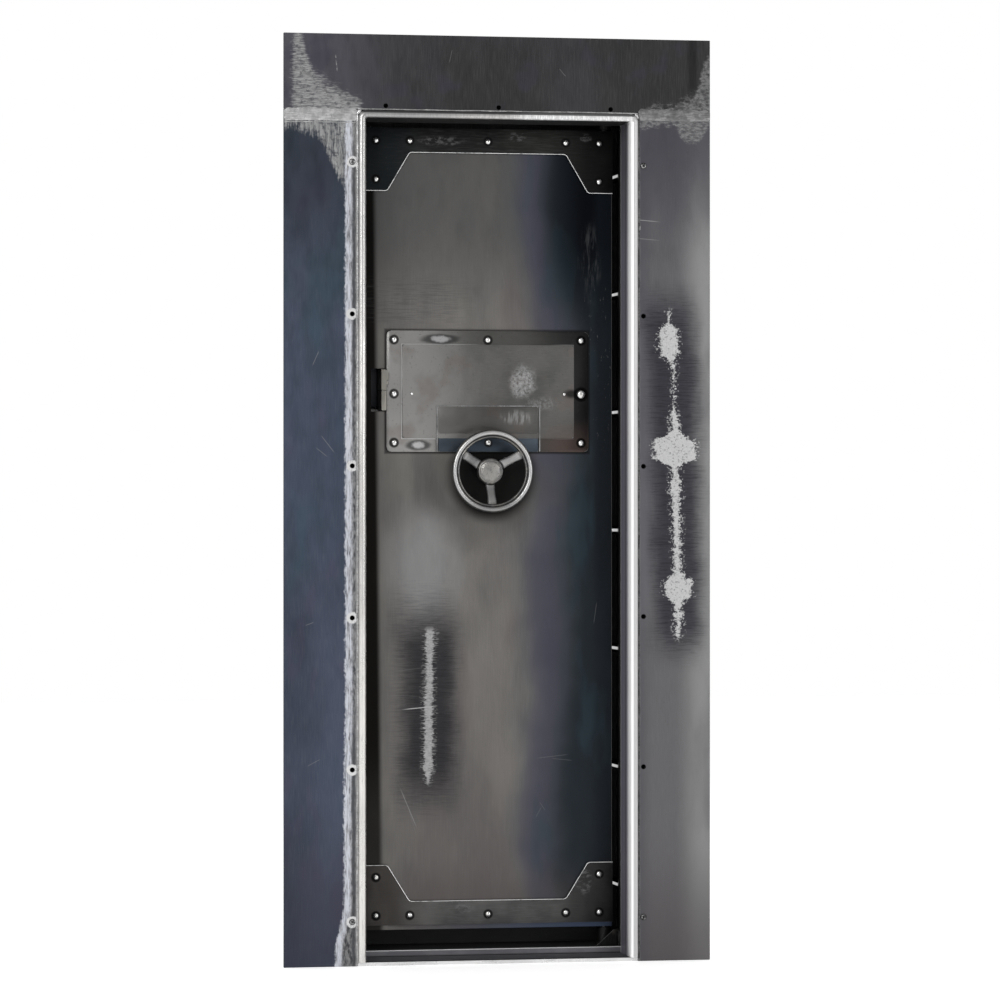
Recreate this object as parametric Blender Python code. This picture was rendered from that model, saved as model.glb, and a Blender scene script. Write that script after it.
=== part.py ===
"""A walk-in vault door in its steel frame: a recessed leaf with bolts worked by a handwheel.

Metres, +Z up. X runs across the doorway, +Y runs into it, and the viewer stands at -Y.
The origin is on the floor, halfway across, on the wall plane behind the face plates.
"""

import math

import bmesh
import bpy
from mathutils import Matrix, Vector

# ---------- driving dimensions ----------
GAP = 0.0003  # left between pieces that touch

OVERALL_WIDTH = 1.067
OVERALL_HEIGHT = 2.286
FACE_THICK = 0.010
EDGE_BEVEL = 0.0008

OPENING_HALF = 0.3305
OPENING_TOP = 2.0804
LINER_THICK = 0.020
LINER_PROUD = 0.020  # how far the liner's round nose stands in front of the wall plane
LINER_DEPTH = 0.106
NOSE_RADIUS = 0.0085
NOSE_STEPS = 4

CASING_THICK = 0.008
CASING_DEPTH = 0.275
FLANGE_REACH = 0.045

SILL_THICK = 0.0096
THRESHOLD_THICK = 0.0152

HOLE_RADIUS = 0.0055
HOLE_OFFSET = 0.034  # from the opening's edge to the line of holes
HOLE_BOTTOM = 0.109
HOLE_PITCH = 0.3726
HOLES_PER_SIDE = 6
HEAD_HOLE_SPACING = 0.2815
HEAD_HOLES = 3
HEAD_HOLE_RISE = 0.0105  # from the liner's top to the head's line of holes

LEAF_HALF = 0.318
LEAF_BOTTOM = 0.071
LEAF_TOP = 2.071
LEAF_FACE_Y = 0.153
FRONT_PLATE_THICK = 0.012
CORE_DEPTH = 0.080
BACK_PLATE_THICK = 0.006
LATCH_STILE = 0.0235
PIVOT_STILE = 0.034
RAIL_HEIGHT = 0.040

PIVOT_INSET_X = 0.0155  # the pivot line, from the leaf's right edge
PIVOT_INSET_Y = 0.024  # and from its front face
PIVOT_RADIUS = 0.007
PIVOT_CLEARANCE = 0.0002
PIVOT_SOCKET = 0.070
BUSH_RADIUS = 0.018
BUSH_FLANGE = 0.024
BUSH_GAP = 0.003  # between a bush and the leaf
BUSH_FLANGE_THICK = {"top": 0.005, "bottom": 0.006}
BUSH_BLIND = 0.004  # left solid behind a bush's socket
PIN_PLAY = 0.001  # at a pivot pin's ends

DOG_COUNT = 7
DOG_BOTTOM = 0.178
DOG_PITCH = 0.2965
DOG_RADIUS = 0.011
DOG_TIP_X = 0.3485
DOG_SEAT = 0.004  # how far a dog pin stops short of the stile's inner face
END_CHAMFER = 0.002
BOLT_RADIUS = 0.012
BOLT_EVERY = 2  # one bolt for every second dog pin
BOLT_COUNT = 4
BOLT_LINE_Y = 0.213
BOLT_THROW = 0.023
BOLT_PROUD = 0.002

STOP_THICK = 0.010
STOP_OVERLAP = 0.021
STOP_CLEARANCE = 0.0029
STRIKE_WIDTH = {"left": 0.0185, "right": 0.0085}
STRIKE_THICK = 0.016
STRIKE_CLEARANCE = 0.002  # between a strike bar and the bolts behind it

PLATE_PROUD = 0.008
TOP_WING = 0.1575
TOP_MIDDLE = 0.061
BOTTOM_RISE = 0.0125  # from the leaf's lower edge to the plate's
BOTTOM_WING = 0.163
BOTTOM_MIDDLE = 0.072
WING_INNER = 0.2545
MIDDLE_CORNER = 0.198
WING_FILLET = 0.010
RIVET_RADIUS = 0.0065
RIVET_HIGH = 0.0032
RIVET_SEAT = 0.002
HEAD_CROWN = 0.62  # a rivet's or stud's flat top, as a share of its radius
RIVET_EDGE_X = 0.2835
TOP_RIVET_ROWS = (0.0313, 0.128)
BOTTOM_RIVET_ROWS = (0.0367, 0.1325)

COVER_HALF = 0.2563
COVER_BOTTOM = 1.2634
COVER_TOP = 1.5659
COVER_THICK = 0.006
COVER_CORNER = 0.012
PANEL_HALF = 0.2156
PANEL_BOTTOM = 1.2988
PANEL_TOP = 1.5296
PANEL_PROUD = 0.007
PANEL_SLOPE = 0.003
INSERT_HALF = 0.1268
INSERT_TOP = 1.3766
COVER_SCREW_X = 0.2375
COVER_SCREW_ROWS = (1.2863, 1.4083, 1.5433)
STUD_X = 0.1935
STUD_RADIUS = 0.004
STUD_HIGH = 0.0015

SCREW_SHANK = 0.003
SCREW_HEAD = 0.007
SCREW_HEAD_HIGH = 0.003
SCREW_DEPTH = 0.014
SCREW_DOME = ((0.72, 1.0), (0.94, 0.6))  # radius and height, as shares of the head's
FRAME_SCREW_HEAD = 0.0085
FRAME_SCREW_SHANK = 0.005

WHEEL_Z = 1.2152
RIM_OUTER = 0.103
RIM_INNER = 0.0825
RIM_FRONT_Y = 0.0715
RIM_BACK_Y = 0.0885
RIM_RING = 0.00656  # radius of the rim's outer ring
RIM_GROOVE = 0.0015
INNER_RING = 0.0028
INNER_RING_BACK = 0.0063  # from the rim's front to the inner ring's centre
RIM_BACK_OUTER = 0.007
RIM_BACK_INNER = 0.004
HUB_RADIUS = 0.033
HUB_FRONT_Y = 0.1085
HUB_BACK_Y = 0.128
HUB_FRONT_CHAMFER = 0.004
HUB_BACK_CONE = (0.010, 0.005)  # across and along
CAP_RADIUS = 0.0266
CAP_HIGH = 0.007
SPOKE_COUNT = 3
SPOKE_FIRST_DEG = 30
SPOKE_WIDTH = 0.024
SPOKE_THICK = 0.009
SPOKE_ROOT = 0.024
SPOKE_END = 0.090
SPOKE_ROOT_IN = 0.009  # behind the hub's front face
SPOKE_END_IN = 0.007  # before the rim's back

SPINDLE_RADIUS = 0.010
SPINDLE_NECK = 0.008
SPINDLE_CLEARANCE = 0.0002
SPINDLE_END_Y = 0.232
BEARING_RADIUS = 0.016
BEARING_FLANGE = 0.026
BEARING_BACK_Y = 0.200
BEARING_FLANGE_THICK = 0.006
BEARING_CHAMFER = 0.003
SHOULDER_IN = 0.003  # from the bearing to the spindle's shoulder

TOOTH_COUNT = 20
TOOTH_MODULE = 0.0015
TOOTH_ADDENDUM = 0.0012
TOOTH_DEDENDUM = 0.0018
TOOTH_WIDTH = 0.0020  # at the pitch line, which leaves backlash
PRESSURE_ANGLE = math.radians(20)
GEAR_FRONT_Y = 0.204
GEAR_BACK_Y = 0.222
FLANK_STEPS = 3
RACK_HIGH = 0.011
RACK_END_X = 0.045
SPARE_TEETH = 3  # rack teeth beyond those the throw needs, at each end

BAR_RIGHT_X = -0.246
BAR_WIDTH = 0.024
BAR_THICK = 0.020
BAR_BOTTOM = 0.150
BAR_TOP = 1.985
SLOT_LEFT_X = -0.2943
SLOT_RIGHT_X = -0.2565
SLOT_BOTTOM = 1.3640
SLOT_TOP = 1.4712
TAB_LEFT_X = -0.2703
TAB_RIGHT_X = -0.2578
TAB_BOTTOM = 1.3665
TAB_TOP = 1.4685
TAB_HEAD_X = -0.2527
TAB_HEAD_BOTTOM = 1.4430
TAB_CHAMFER = 0.006
TAB_FRONT_Y = 0.137
TAB_HEAD_SEAT = 0.001

ROUND = 20  # sides of a round piece
FINE_ROUND = 32
RIM_ROUND = 40
SMALL_ROUND = 12
HOLE_ROUND = 10

# ---------- values that follow from them ----------
FACE_HALF = OVERALL_WIDTH / 2
FACE_INNER = OPENING_HALF + LINER_THICK + GAP
HEAD_PLATE_BOTTOM = OPENING_TOP + LINER_THICK + GAP
SIDE_TOP = OPENING_TOP + LINER_THICK
HOLE_X = OPENING_HALF + HOLE_OFFSET
HEAD_HOLE_Z = OPENING_TOP + LINER_THICK + HEAD_HOLE_RISE
FLANGE_OUTER = FACE_INNER + FLANGE_REACH
THRESHOLD_BOTTOM = SILL_THICK + GAP
THRESHOLD_TOP = THRESHOLD_BOTTOM + THRESHOLD_THICK

CORE_FRONT = LEAF_FACE_Y + FRONT_PLATE_THICK + GAP
CORE_BACK = CORE_FRONT + CORE_DEPTH
LEAF_BACK_Y = CORE_BACK + GAP + BACK_PLATE_THICK
PIVOT = Vector((LEAF_HALF - PIVOT_INSET_X, LEAF_FACE_Y + PIVOT_INSET_Y, 0))
STOP_FRONT = LEAF_BACK_Y + STOP_CLEARANCE
STOP_INNER = LEAF_HALF - STOP_OVERLAP
PLATE_FRONT_Y = LEAF_FACE_Y - GAP - PLATE_PROUD
COVER_BACK_Y = LEAF_FACE_Y - GAP
COVER_FRONT_Y = COVER_BACK_Y - COVER_THICK
PANEL_FRONT_Y = COVER_FRONT_Y - PANEL_PROUD

PITCH_RADIUS = TOOTH_COUNT * TOOTH_MODULE / 2
TOOTH_PITCH = math.pi * TOOTH_MODULE
BAR_LEFT_X = BAR_RIGHT_X - BAR_WIDTH
BAR_FRONT_Y = BOLT_LINE_Y - BAR_THICK / 2
SLIP = 0.010  # how far a cutter runs past the faces it cuts

AXIS_TURN = {
    "X": Matrix.Rotation(math.radians(90), 4, "Y"),
    "Y": Matrix.Rotation(math.radians(-90), 4, "X"),
    "Z": Matrix.Identity(4),
}


# ---------- materials ----------
def make_material(name, colour, roughness, metallic):
    material = bpy.data.materials.new(name)
    material.use_nodes = True
    shader = material.node_tree.nodes["Principled BSDF"]
    shader.inputs["Base Color"].default_value = (*colour, 1)
    shader.inputs["Roughness"].default_value = roughness
    shader.inputs["Metallic"].default_value = metallic
    return material


def make_materials():
    return {
        "frame_steel": make_material("frame_steel", (0.10, 0.12, 0.14), 0.45, 0.9),
        "bright_steel": make_material("bright_steel", (0.70, 0.71, 0.72), 0.25, 1.0),
        "dark_steel": make_material("dark_steel", (0.05, 0.06, 0.07), 0.6, 0.8),
        "leaf_steel": make_material("leaf_steel", (0.09, 0.10, 0.12), 0.5, 0.9),
        "cover_steel": make_material("cover_steel", (0.30, 0.29, 0.27), 0.4, 0.9),
        "cast_metal": make_material("cast_metal", (0.62, 0.63, 0.64), 0.35, 1.0),
        "bearing_bronze": make_material("bearing_bronze", (0.45, 0.33, 0.16), 0.4, 1.0),
    }


# ---------- modelling helpers ----------
def finish_object(name, bm, material, body):
    """An object from a bmesh in world coordinates, parented to its body's empty."""
    bmesh.ops.recalc_face_normals(bm, faces=bm.faces[:])
    if bm.calc_volume(signed=True) < 0:
        bmesh.ops.reverse_faces(bm, faces=bm.faces[:])
    mesh = bpy.data.meshes.new(name)
    bm.to_mesh(mesh)
    bm.free()
    mesh.shade_smooth()
    mesh.set_sharp_from_angle(angle=math.radians(35))
    obj = bpy.data.objects.new(name, mesh)
    bpy.context.scene.collection.objects.link(obj)
    if material is not None:
        mesh.materials.append(material)
    if body is not None:
        obj.parent = body
        obj.matrix_parent_inverse = Matrix.Translation(-body.location)
    return obj


def add_bevel(obj, width=EDGE_BEVEL, segments=1):
    bevel = obj.modifiers.new("bevel", "BEVEL")
    bevel.width = width
    bevel.segments = segments
    bevel.limit_method = "ANGLE"
    bevel.angle_limit = math.radians(40)
    return obj


def boolean(obj, tool, operation):
    tool.hide_render = True
    tool.display_type = "WIRE"
    modifier = obj.modifiers.new(tool.name, "BOOLEAN")
    modifier.operation = operation
    modifier.solver = "EXACT"
    modifier.object = tool
    return obj


def box_into(bm, low, high):
    """Adds a box between two opposite corners to a bmesh."""
    low, high = Vector(low), Vector(high)
    scale = Matrix.Diagonal((*(high - low), 1))
    bmesh.ops.create_cube(bm, size=1, matrix=Matrix.Translation((low + high) / 2) @ scale)


def cylinder_into(bm, radius, start, length, axis, sides=ROUND, end_radius=None):
    """Adds a cylinder or cone that starts at a point and runs along +X, +Y or +Z."""
    turn = AXIS_TURN[axis]
    middle = Matrix.Translation(Vector(start)) @ turn @ Matrix.Translation((0, 0, length / 2))
    far = radius if end_radius is None else end_radius
    bmesh.ops.create_cone(
        bm, cap_ends=True, segments=sides, radius1=radius, radius2=far, depth=length, matrix=middle
    )


def box(name, low, high, material, body):
    bm = bmesh.new()
    box_into(bm, low, high)
    return add_bevel(finish_object(name, bm, material, body))


def prism_into(bm, outline, axis, start, end):
    """Extrudes an outline along an axis; its points are (y, z), (x, z) or (x, y) for X, Y or Z."""
    place = {
        "X": lambda u, v: (start, u, v),
        "Y": lambda u, v: (u, start, v),
        "Z": lambda u, v: (u, v, start),
    }[axis]
    travel = {"X": Vector((1, 0, 0)), "Y": Vector((0, 1, 0)), "Z": Vector((0, 0, 1))}[axis]
    face = bm.faces.new([bm.verts.new(place(u, v)) for u, v in outline])
    moved = bmesh.ops.extrude_face_region(bm, geom=[face])["geom"]
    corners = [item for item in moved if isinstance(item, bmesh.types.BMVert)]
    bmesh.ops.translate(bm, verts=corners, vec=travel * (end - start))


def prism(name, outline, axis, start, end, material, body):
    bm = bmesh.new()
    prism_into(bm, outline, axis, start, end)
    return finish_object(name, bm, material, body)


def turned(name, profile, centre, axis, material, body, sides=ROUND):
    """Turns a closed (radius, distance along the axis) profile about an axis through centre."""
    bm = bmesh.new()
    frame = Matrix.Translation(Vector(centre)) @ AXIS_TURN[axis]
    rings = []
    for radius, along in profile:
        if radius == 0:
            rings.append([bm.verts.new(frame @ Vector((0, 0, along)))] * sides)
            continue
        angles = [2 * math.pi * i / sides for i in range(sides)]
        rings.append(
            [
                bm.verts.new(frame @ Vector((radius * math.cos(a), radius * math.sin(a), along)))
                for a in angles
            ]
        )
    for near, far in zip(rings, rings[1:] + rings[:1]):
        for i in range(sides):
            j = (i + 1) % sides
            corners = dict.fromkeys((near[i], near[j], far[j], far[i]))
            if len(corners) > 2:
                bm.faces.new(list(corners))
    return finish_object(name, bm, material, body)


def cutter(name, fill, body=None):
    """A hidden tool object; fill adds its closed shells to a bmesh."""
    bm = bmesh.new()
    fill(bm)
    return finish_object(name, bm, None, body)


def arc(cx, cy, radius, start_deg, end_deg, steps):
    """Points along an arc, both ends included."""
    turns = [math.radians(start_deg + (end_deg - start_deg) * i / steps) for i in range(steps + 1)]
    return [(cx + radius * math.cos(a), cy + radius * math.sin(a)) for a in turns]


def rounded_rectangle(half_width, bottom, top, radius, steps=4):
    corners = (
        (half_width - radius, bottom + radius, -90),
        (half_width - radius, top - radius, 0),
        (radius - half_width, top - radius, 90),
        (radius - half_width, bottom + radius, 180),
    )
    outline = []
    for cx, cz, start in corners:
        outline += arc(cx, cz, radius, start, start + 90, steps)
    return outline


def fillet(before, corner, after, radius, steps=3):
    """Points of the arc that rounds a corner between two straight edges."""
    corner = Vector(corner)
    to_before = (Vector(before) - corner).normalized()
    to_after = (Vector(after) - corner).normalized()
    half_angle = to_before.angle(to_after) / 2
    reach = radius / math.tan(half_angle)
    centre = corner + (to_before + to_after).normalized() * radius / math.sin(half_angle)
    start = corner + to_before * reach - centre
    end = corner + to_after * reach - centre
    return [tuple(centre + start.slerp(end, i / steps).normalized() * radius) for i in range(steps + 1)]


def row(first, pitch, count):
    return [first + pitch * i for i in range(count)]


# ---------- frame ----------
def face_plates(mats, body):
    """The three flat plates round the opening, with their line of fixing holes."""
    holes = row(HOLE_BOTTOM, HOLE_PITCH, HOLES_PER_SIDE)
    for side, sign in (("left", -1), ("right", 1)):
        inner, outer = sorted((sign * FACE_INNER, sign * FACE_HALF))
        plate = box(
            f"face_plate_{side}", (inner, -FACE_THICK, 0), (outer, 0, SIDE_TOP), mats["frame_steel"], body
        )

        def fill(bm, x=sign * HOLE_X):
            for z in holes:
                cylinder_into(
                    bm, HOLE_RADIUS, (x, -FACE_THICK - SLIP, z), FACE_THICK + 2 * SLIP, "Y", HOLE_ROUND
                )

        boolean(plate, cutter(f"cut_face_{side}", fill), "DIFFERENCE")
    head = box(
        "face_plate_head",
        (-FACE_HALF, -FACE_THICK, HEAD_PLATE_BOTTOM),
        (FACE_HALF, 0, OVERALL_HEIGHT),
        mats["frame_steel"],
        body,
    )

    def fill_head(bm):
        for x in row(-HEAD_HOLE_SPACING, HEAD_HOLE_SPACING, HEAD_HOLES):
            start = (x, -FACE_THICK - SLIP, HEAD_HOLE_Z)
            cylinder_into(bm, HOLE_RADIUS, start, FACE_THICK + 2 * SLIP, "Y", HOLE_ROUND)

    boolean(head, cutter("cut_face_head", fill_head), "DIFFERENCE")


def liner_outline(inner, outer):
    """A liner's section: (across, y), square at the back and with rounded corners in front."""
    low, high = sorted((inner, outer))
    nose = arc(low + NOSE_RADIUS, NOSE_RADIUS - LINER_PROUD, NOSE_RADIUS, 180, 270, NOSE_STEPS)
    nose += arc(high - NOSE_RADIUS, NOSE_RADIUS - LINER_PROUD, NOSE_RADIUS, 270, 360, NOSE_STEPS)
    return nose + [(high, LINER_DEPTH), (low, LINER_DEPTH)]


def liners(mats, body):
    """The polished edge bars that line the opening and stand a little in front of the plates."""
    outer = OPENING_HALF + LINER_THICK
    for side, sign in (("left", -1), ("right", 1)):
        outline = liner_outline(sign * OPENING_HALF, sign * outer)
        prism(
            f"jamb_liner_{side}",
            outline,
            "Z",
            SILL_THICK + GAP,
            OPENING_TOP - GAP,
            mats["bright_steel"],
            body,
        )
    outline = [(y, z) for z, y in liner_outline(OPENING_TOP, OPENING_TOP + LINER_THICK)]
    prism("head_liner", outline, "X", -outer, outer, mats["bright_steel"], body)


def channel_outline(inner, outer):
    """A channel's section: (across, y), with its web at inner and both flanges reaching outer."""
    web = inner + math.copysign(CASING_THICK, outer - inner)
    front, back = GAP, CASING_DEPTH
    return [
        (inner, front),
        (outer, front),
        (outer, front + CASING_THICK),
        (web, front + CASING_THICK),
        (web, back - CASING_THICK),
        (outer, back - CASING_THICK),
        (outer, back),
        (inner, back),
    ]


def casings(mats, body):
    """The channels behind the face plates, which go into the wall."""
    for side, sign in (("left", -1), ("right", 1)):
        outline = channel_outline(sign * FACE_INNER, sign * FLANGE_OUTER)
        casing = prism(f"jamb_casing_{side}", outline, "Z", 0, SIDE_TOP, mats["dark_steel"], body)

        def fill(bm, sign=sign):
            for z in (HOLE_BOTTOM, HOLE_BOTTOM + HOLE_PITCH * (HOLES_PER_SIDE - 1)):
                cylinder_into(
                    bm, HOLE_RADIUS, (sign * HOLE_X, -SLIP, z), CASING_THICK + 2 * SLIP, "Y", HOLE_ROUND
                )

        boolean(casing, cutter(f"cut_casing_{side}", fill), "DIFFERENCE")
    outline = [(y, z) for z, y in channel_outline(HEAD_PLATE_BOTTOM, HEAD_PLATE_BOTTOM + FLANGE_REACH)]
    prism("head_casing", outline, "X", -FLANGE_OUTER, FLANGE_OUTER, mats["dark_steel"], body)


def floor_plates(mats, body):
    """The sill that the frame stands on, and the raised threshold with the leaf's bottom stop."""
    half = OPENING_HALF + LINER_THICK
    box("sill_plate", (-half, -FACE_THICK, 0), (half, CASING_DEPTH, SILL_THICK), mats["frame_steel"], body)
    front = LINER_DEPTH + GAP
    lip_top = LEAF_BOTTOM + STOP_OVERLAP
    outline = [
        (front, THRESHOLD_BOTTOM),
        (CASING_DEPTH, THRESHOLD_BOTTOM),
        (CASING_DEPTH, THRESHOLD_TOP),
        (STOP_FRONT + STOP_THICK, THRESHOLD_TOP),
        (STOP_FRONT + STOP_THICK, lip_top),
        (STOP_FRONT, lip_top),
        (STOP_FRONT, THRESHOLD_TOP),
        (front, THRESHOLD_TOP),
    ]
    add_bevel(prism("threshold_plate", outline, "X", -half, half, mats["bright_steel"], body))


def rear_stop(mats, body):
    """The welded bars behind the leaf that it closes against, on three sides."""
    half = OPENING_HALF + LINER_THICK
    bottom = LEAF_BOTTOM + STOP_OVERLAP + GAP
    below = LEAF_TOP - STOP_OVERLAP
    left = [(-half, SIDE_TOP), (-half, bottom), (-STOP_INNER, bottom), (-STOP_INNER, below)]
    outline = left + [(-x, z) for x, z in reversed(left)]
    prism("rear_stop", outline, "Y", STOP_FRONT, STOP_FRONT + STOP_THICK, mats["dark_steel"], body)


def strike_bars(mats, body):
    """The bars on the jambs: thrown bolts lock behind the left one, dog pins stand behind the right one."""
    half = OPENING_HALF + LINER_THICK
    back = BOLT_LINE_Y - BOLT_RADIUS - STRIKE_CLEARANCE
    for side, sign in (("left", -1), ("right", 1)):
        low, high = sorted((sign * half, sign * (half - STRIKE_WIDTH[side])))
        corners = (low, back - STRIKE_THICK, THRESHOLD_TOP + GAP), (high, back, SIDE_TOP)
        box(f"strike_bar_{side}", *corners, mats["bright_steel"], body)


def bush_profile(base, rim, blind, flange_thick):
    """A flanged bush standing at base, with its mouth at rim and a socket that stops at blind."""
    bore = PIVOT_RADIUS + PIVOT_CLEARANCE
    step = base + math.copysign(flange_thick, rim - base)
    return [
        (0, base),
        (BUSH_FLANGE, base),
        (BUSH_FLANGE, step),
        (BUSH_RADIUS, step),
        (BUSH_RADIUS, rim),
        (bore, rim),
        (bore, blind),
        (0, blind),
    ]


def pivot_bushes(mats, body):
    """The sockets at the head and on the threshold that the leaf turns in."""
    base, thick = SIDE_TOP, BUSH_FLANGE_THICK["top"]
    top = bush_profile(base, LEAF_TOP + BUSH_GAP, base - BUSH_BLIND, thick)
    turned("pivot_bush_top", top, PIVOT, "Z", mats["bearing_bronze"], body, FINE_ROUND)
    base, thick = THRESHOLD_TOP + GAP, BUSH_FLANGE_THICK["bottom"]
    bottom = bush_profile(base, LEAF_BOTTOM - BUSH_GAP, base + BUSH_BLIND, thick)
    turned("pivot_bush_bottom", bottom, PIVOT, "Z", mats["bearing_bronze"], body, FINE_ROUND)


def screw(name, x, z, seat_y, head, shank, depth, mats, body):
    """A domed screw that enters a face at seat_y."""
    seat = seat_y - GAP
    profile = [(0, seat - SCREW_HEAD_HIGH)]
    profile += [(head * across, seat - SCREW_HEAD_HIGH * high) for across, high in SCREW_DOME]
    profile += [
        (head, seat),
        (shank, seat),
        (shank, seat_y + depth),
        (0, seat_y + depth),
    ]
    turned(name, profile, (x, 0, z), "Y", mats["bright_steel"], body, SMALL_ROUND)


def frame_screws(mats, body):
    """Screws in the lowest and highest hole of each side plate."""
    top = HOLE_BOTTOM + HOLE_PITCH * (HOLES_PER_SIDE - 1)
    for side, sign in (("left", -1), ("right", 1)):
        for level, z in (("bottom", HOLE_BOTTOM), ("top", top)):
            name = f"frame_screw_{level}_{side}"
            screw(
                name,
                sign * HOLE_X,
                z,
                -FACE_THICK,
                FRAME_SCREW_HEAD,
                FRAME_SCREW_SHANK,
                FACE_THICK + CASING_THICK,
                mats,
                body,
            )


# ---------- leaf ----------
def cover_screw_places():
    """(name, x, z) of the screws round the lock cover; the bottom middle one holds the insert."""
    bottom, middle, top = COVER_SCREW_ROWS
    places = []
    for side, x in (("left", -COVER_SCREW_X), ("right", COVER_SCREW_X)):
        places += [(f"bottom_{side}", x, bottom), (f"middle_{side}", x, middle), (f"top_{side}", x, top)]
    return places + [("bottom_middle", 0, bottom), ("top_middle", 0, top)]


def screw_holes_into(bm, end_y):
    for _, x, z in cover_screw_places():
        start = (x, PANEL_FRONT_Y - SLIP, z)
        cylinder_into(bm, SCREW_SHANK + 2 * GAP, start, end_y - start[1], "Y", HOLE_ROUND)


def leaf_plates(mats, body):
    """The thick front skin, with the bolt slot and the spindle hole, and the thin back skin."""
    front = box(
        "door_front_plate",
        (-LEAF_HALF, LEAF_FACE_Y, LEAF_BOTTOM),
        (LEAF_HALF, LEAF_FACE_Y + FRONT_PLATE_THICK, LEAF_TOP),
        mats["leaf_steel"],
        body,
    )

    def fill(bm):
        start_y = LEAF_FACE_Y - SLIP
        through = FRONT_PLATE_THICK + 2 * SLIP
        box_into(bm, (SLOT_LEFT_X, start_y, SLOT_BOTTOM), (SLOT_RIGHT_X, start_y + through, SLOT_TOP))
        cylinder_into(bm, BEARING_RADIUS + GAP, (0, start_y, WHEEL_Z), through, "Y")
        screw_holes_into(bm, LEAF_FACE_Y + SCREW_DEPTH - COVER_THICK)

    boolean(front, cutter("cut_front_plate", fill), "DIFFERENCE")
    low = (-LEAF_HALF, CORE_BACK + GAP, LEAF_BOTTOM)
    box("door_back_plate", low, (LEAF_HALF, LEAF_BACK_Y, LEAF_TOP), mats["leaf_steel"], body)


def leaf_core(mats, body):
    """The upright stiles and the rails between the two skins."""
    latch_inner = -LEAF_HALF + LATCH_STILE
    pivot_inner = LEAF_HALF - PIVOT_STILE
    left = box(
        "door_stile_left",
        (-LEAF_HALF, CORE_FRONT, LEAF_BOTTOM),
        (latch_inner, CORE_BACK, LEAF_TOP),
        mats["leaf_steel"],
        body,
    )
    right = box(
        "door_stile_right",
        (pivot_inner, CORE_FRONT, LEAF_BOTTOM),
        (LEAF_HALF, CORE_BACK, LEAF_TOP),
        mats["leaf_steel"],
        body,
    )

    def fill_left(bm):
        for z in bolt_heights():
            start = (-LEAF_HALF - SLIP, BOLT_LINE_Y, z)
            cylinder_into(bm, BOLT_RADIUS + 0.0004, start, LATCH_STILE + 2 * SLIP, "X")

    def fill_right(bm):
        for z in row(DOG_BOTTOM, DOG_PITCH, DOG_COUNT):
            start = (pivot_inner - SLIP, BOLT_LINE_Y, z)
            cylinder_into(bm, DOG_RADIUS + GAP, start, PIVOT_STILE + 2 * SLIP, "X", ROUND)
        for z in (LEAF_BOTTOM - SLIP, LEAF_TOP - PIVOT_SOCKET):
            start = (PIVOT.x, PIVOT.y, z)
            cylinder_into(bm, PIVOT_RADIUS + GAP, start, PIVOT_SOCKET + SLIP, "Z", ROUND)

    boolean(left, cutter("cut_stile_left", fill_left), "DIFFERENCE")
    boolean(right, cutter("cut_stile_right", fill_right), "DIFFERENCE")
    for name, bottom in (("door_rail_bottom", LEAF_BOTTOM), ("door_rail_top", LEAF_TOP - RAIL_HEIGHT)):
        low = (latch_inner + GAP, CORE_FRONT, bottom)
        high = (pivot_inner - GAP, CORE_BACK, bottom + RAIL_HEIGHT)
        box(name, low, high, mats["leaf_steel"], body)


def wing_outline(edge, middle, wing):
    """A plate across the leaf, deeper at both ends: middle and wing are z beside the z of its edge."""
    outer, inner, low = (LEAF_HALF, wing), (WING_INNER, wing), (MIDDLE_CORNER, middle)
    right = [(LEAF_HALF, edge), outer]
    right += fillet(outer, inner, low, WING_FILLET)
    right += fillet(inner, low, (0, middle), WING_FILLET)
    return right + [(-x, z) for x, z in reversed(right)]


def reinforcing_plate(name, outline, edge_z, wing_z, mats, body):
    """A plate on the leaf's face with rivets along its edge and one more in each wing."""
    plate = prism(name, outline, "Y", PLATE_FRONT_Y, LEAF_FACE_Y - GAP, mats["leaf_steel"], body)
    add_bevel(plate)
    places = [(x, edge_z) for x in (-RIVET_EDGE_X, -MIDDLE_CORNER, 0, MIDDLE_CORNER, RIVET_EDGE_X)]
    places += [(x, wing_z) for x in (-RIVET_EDGE_X, RIVET_EDGE_X)]

    def fill(bm):
        for x, z in places:
            start, length = (x, PLATE_FRONT_Y - RIVET_HIGH, z), RIVET_HIGH + RIVET_SEAT
            cylinder_into(bm, RIVET_RADIUS * HEAD_CROWN, start, length, "Y", HOLE_ROUND, RIVET_RADIUS)

    boolean(plate, cutter(f"rivets_{name}", fill), "UNION")


def reinforcing_plates(mats, body):
    top = wing_outline(LEAF_TOP, LEAF_TOP - TOP_MIDDLE, LEAF_TOP - TOP_WING)
    near, far = TOP_RIVET_ROWS
    reinforcing_plate("reinforcing_plate_top", top, LEAF_TOP - near, LEAF_TOP - far, mats, body)
    edge = LEAF_BOTTOM + BOTTOM_RISE
    bottom = wing_outline(edge, LEAF_BOTTOM + BOTTOM_MIDDLE, LEAF_BOTTOM + BOTTOM_WING)
    near, far = BOTTOM_RIVET_ROWS
    reinforcing_plate("reinforcing_plate_bottom", bottom, LEAF_BOTTOM + near, LEAF_BOTTOM + far, mats, body)


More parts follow.
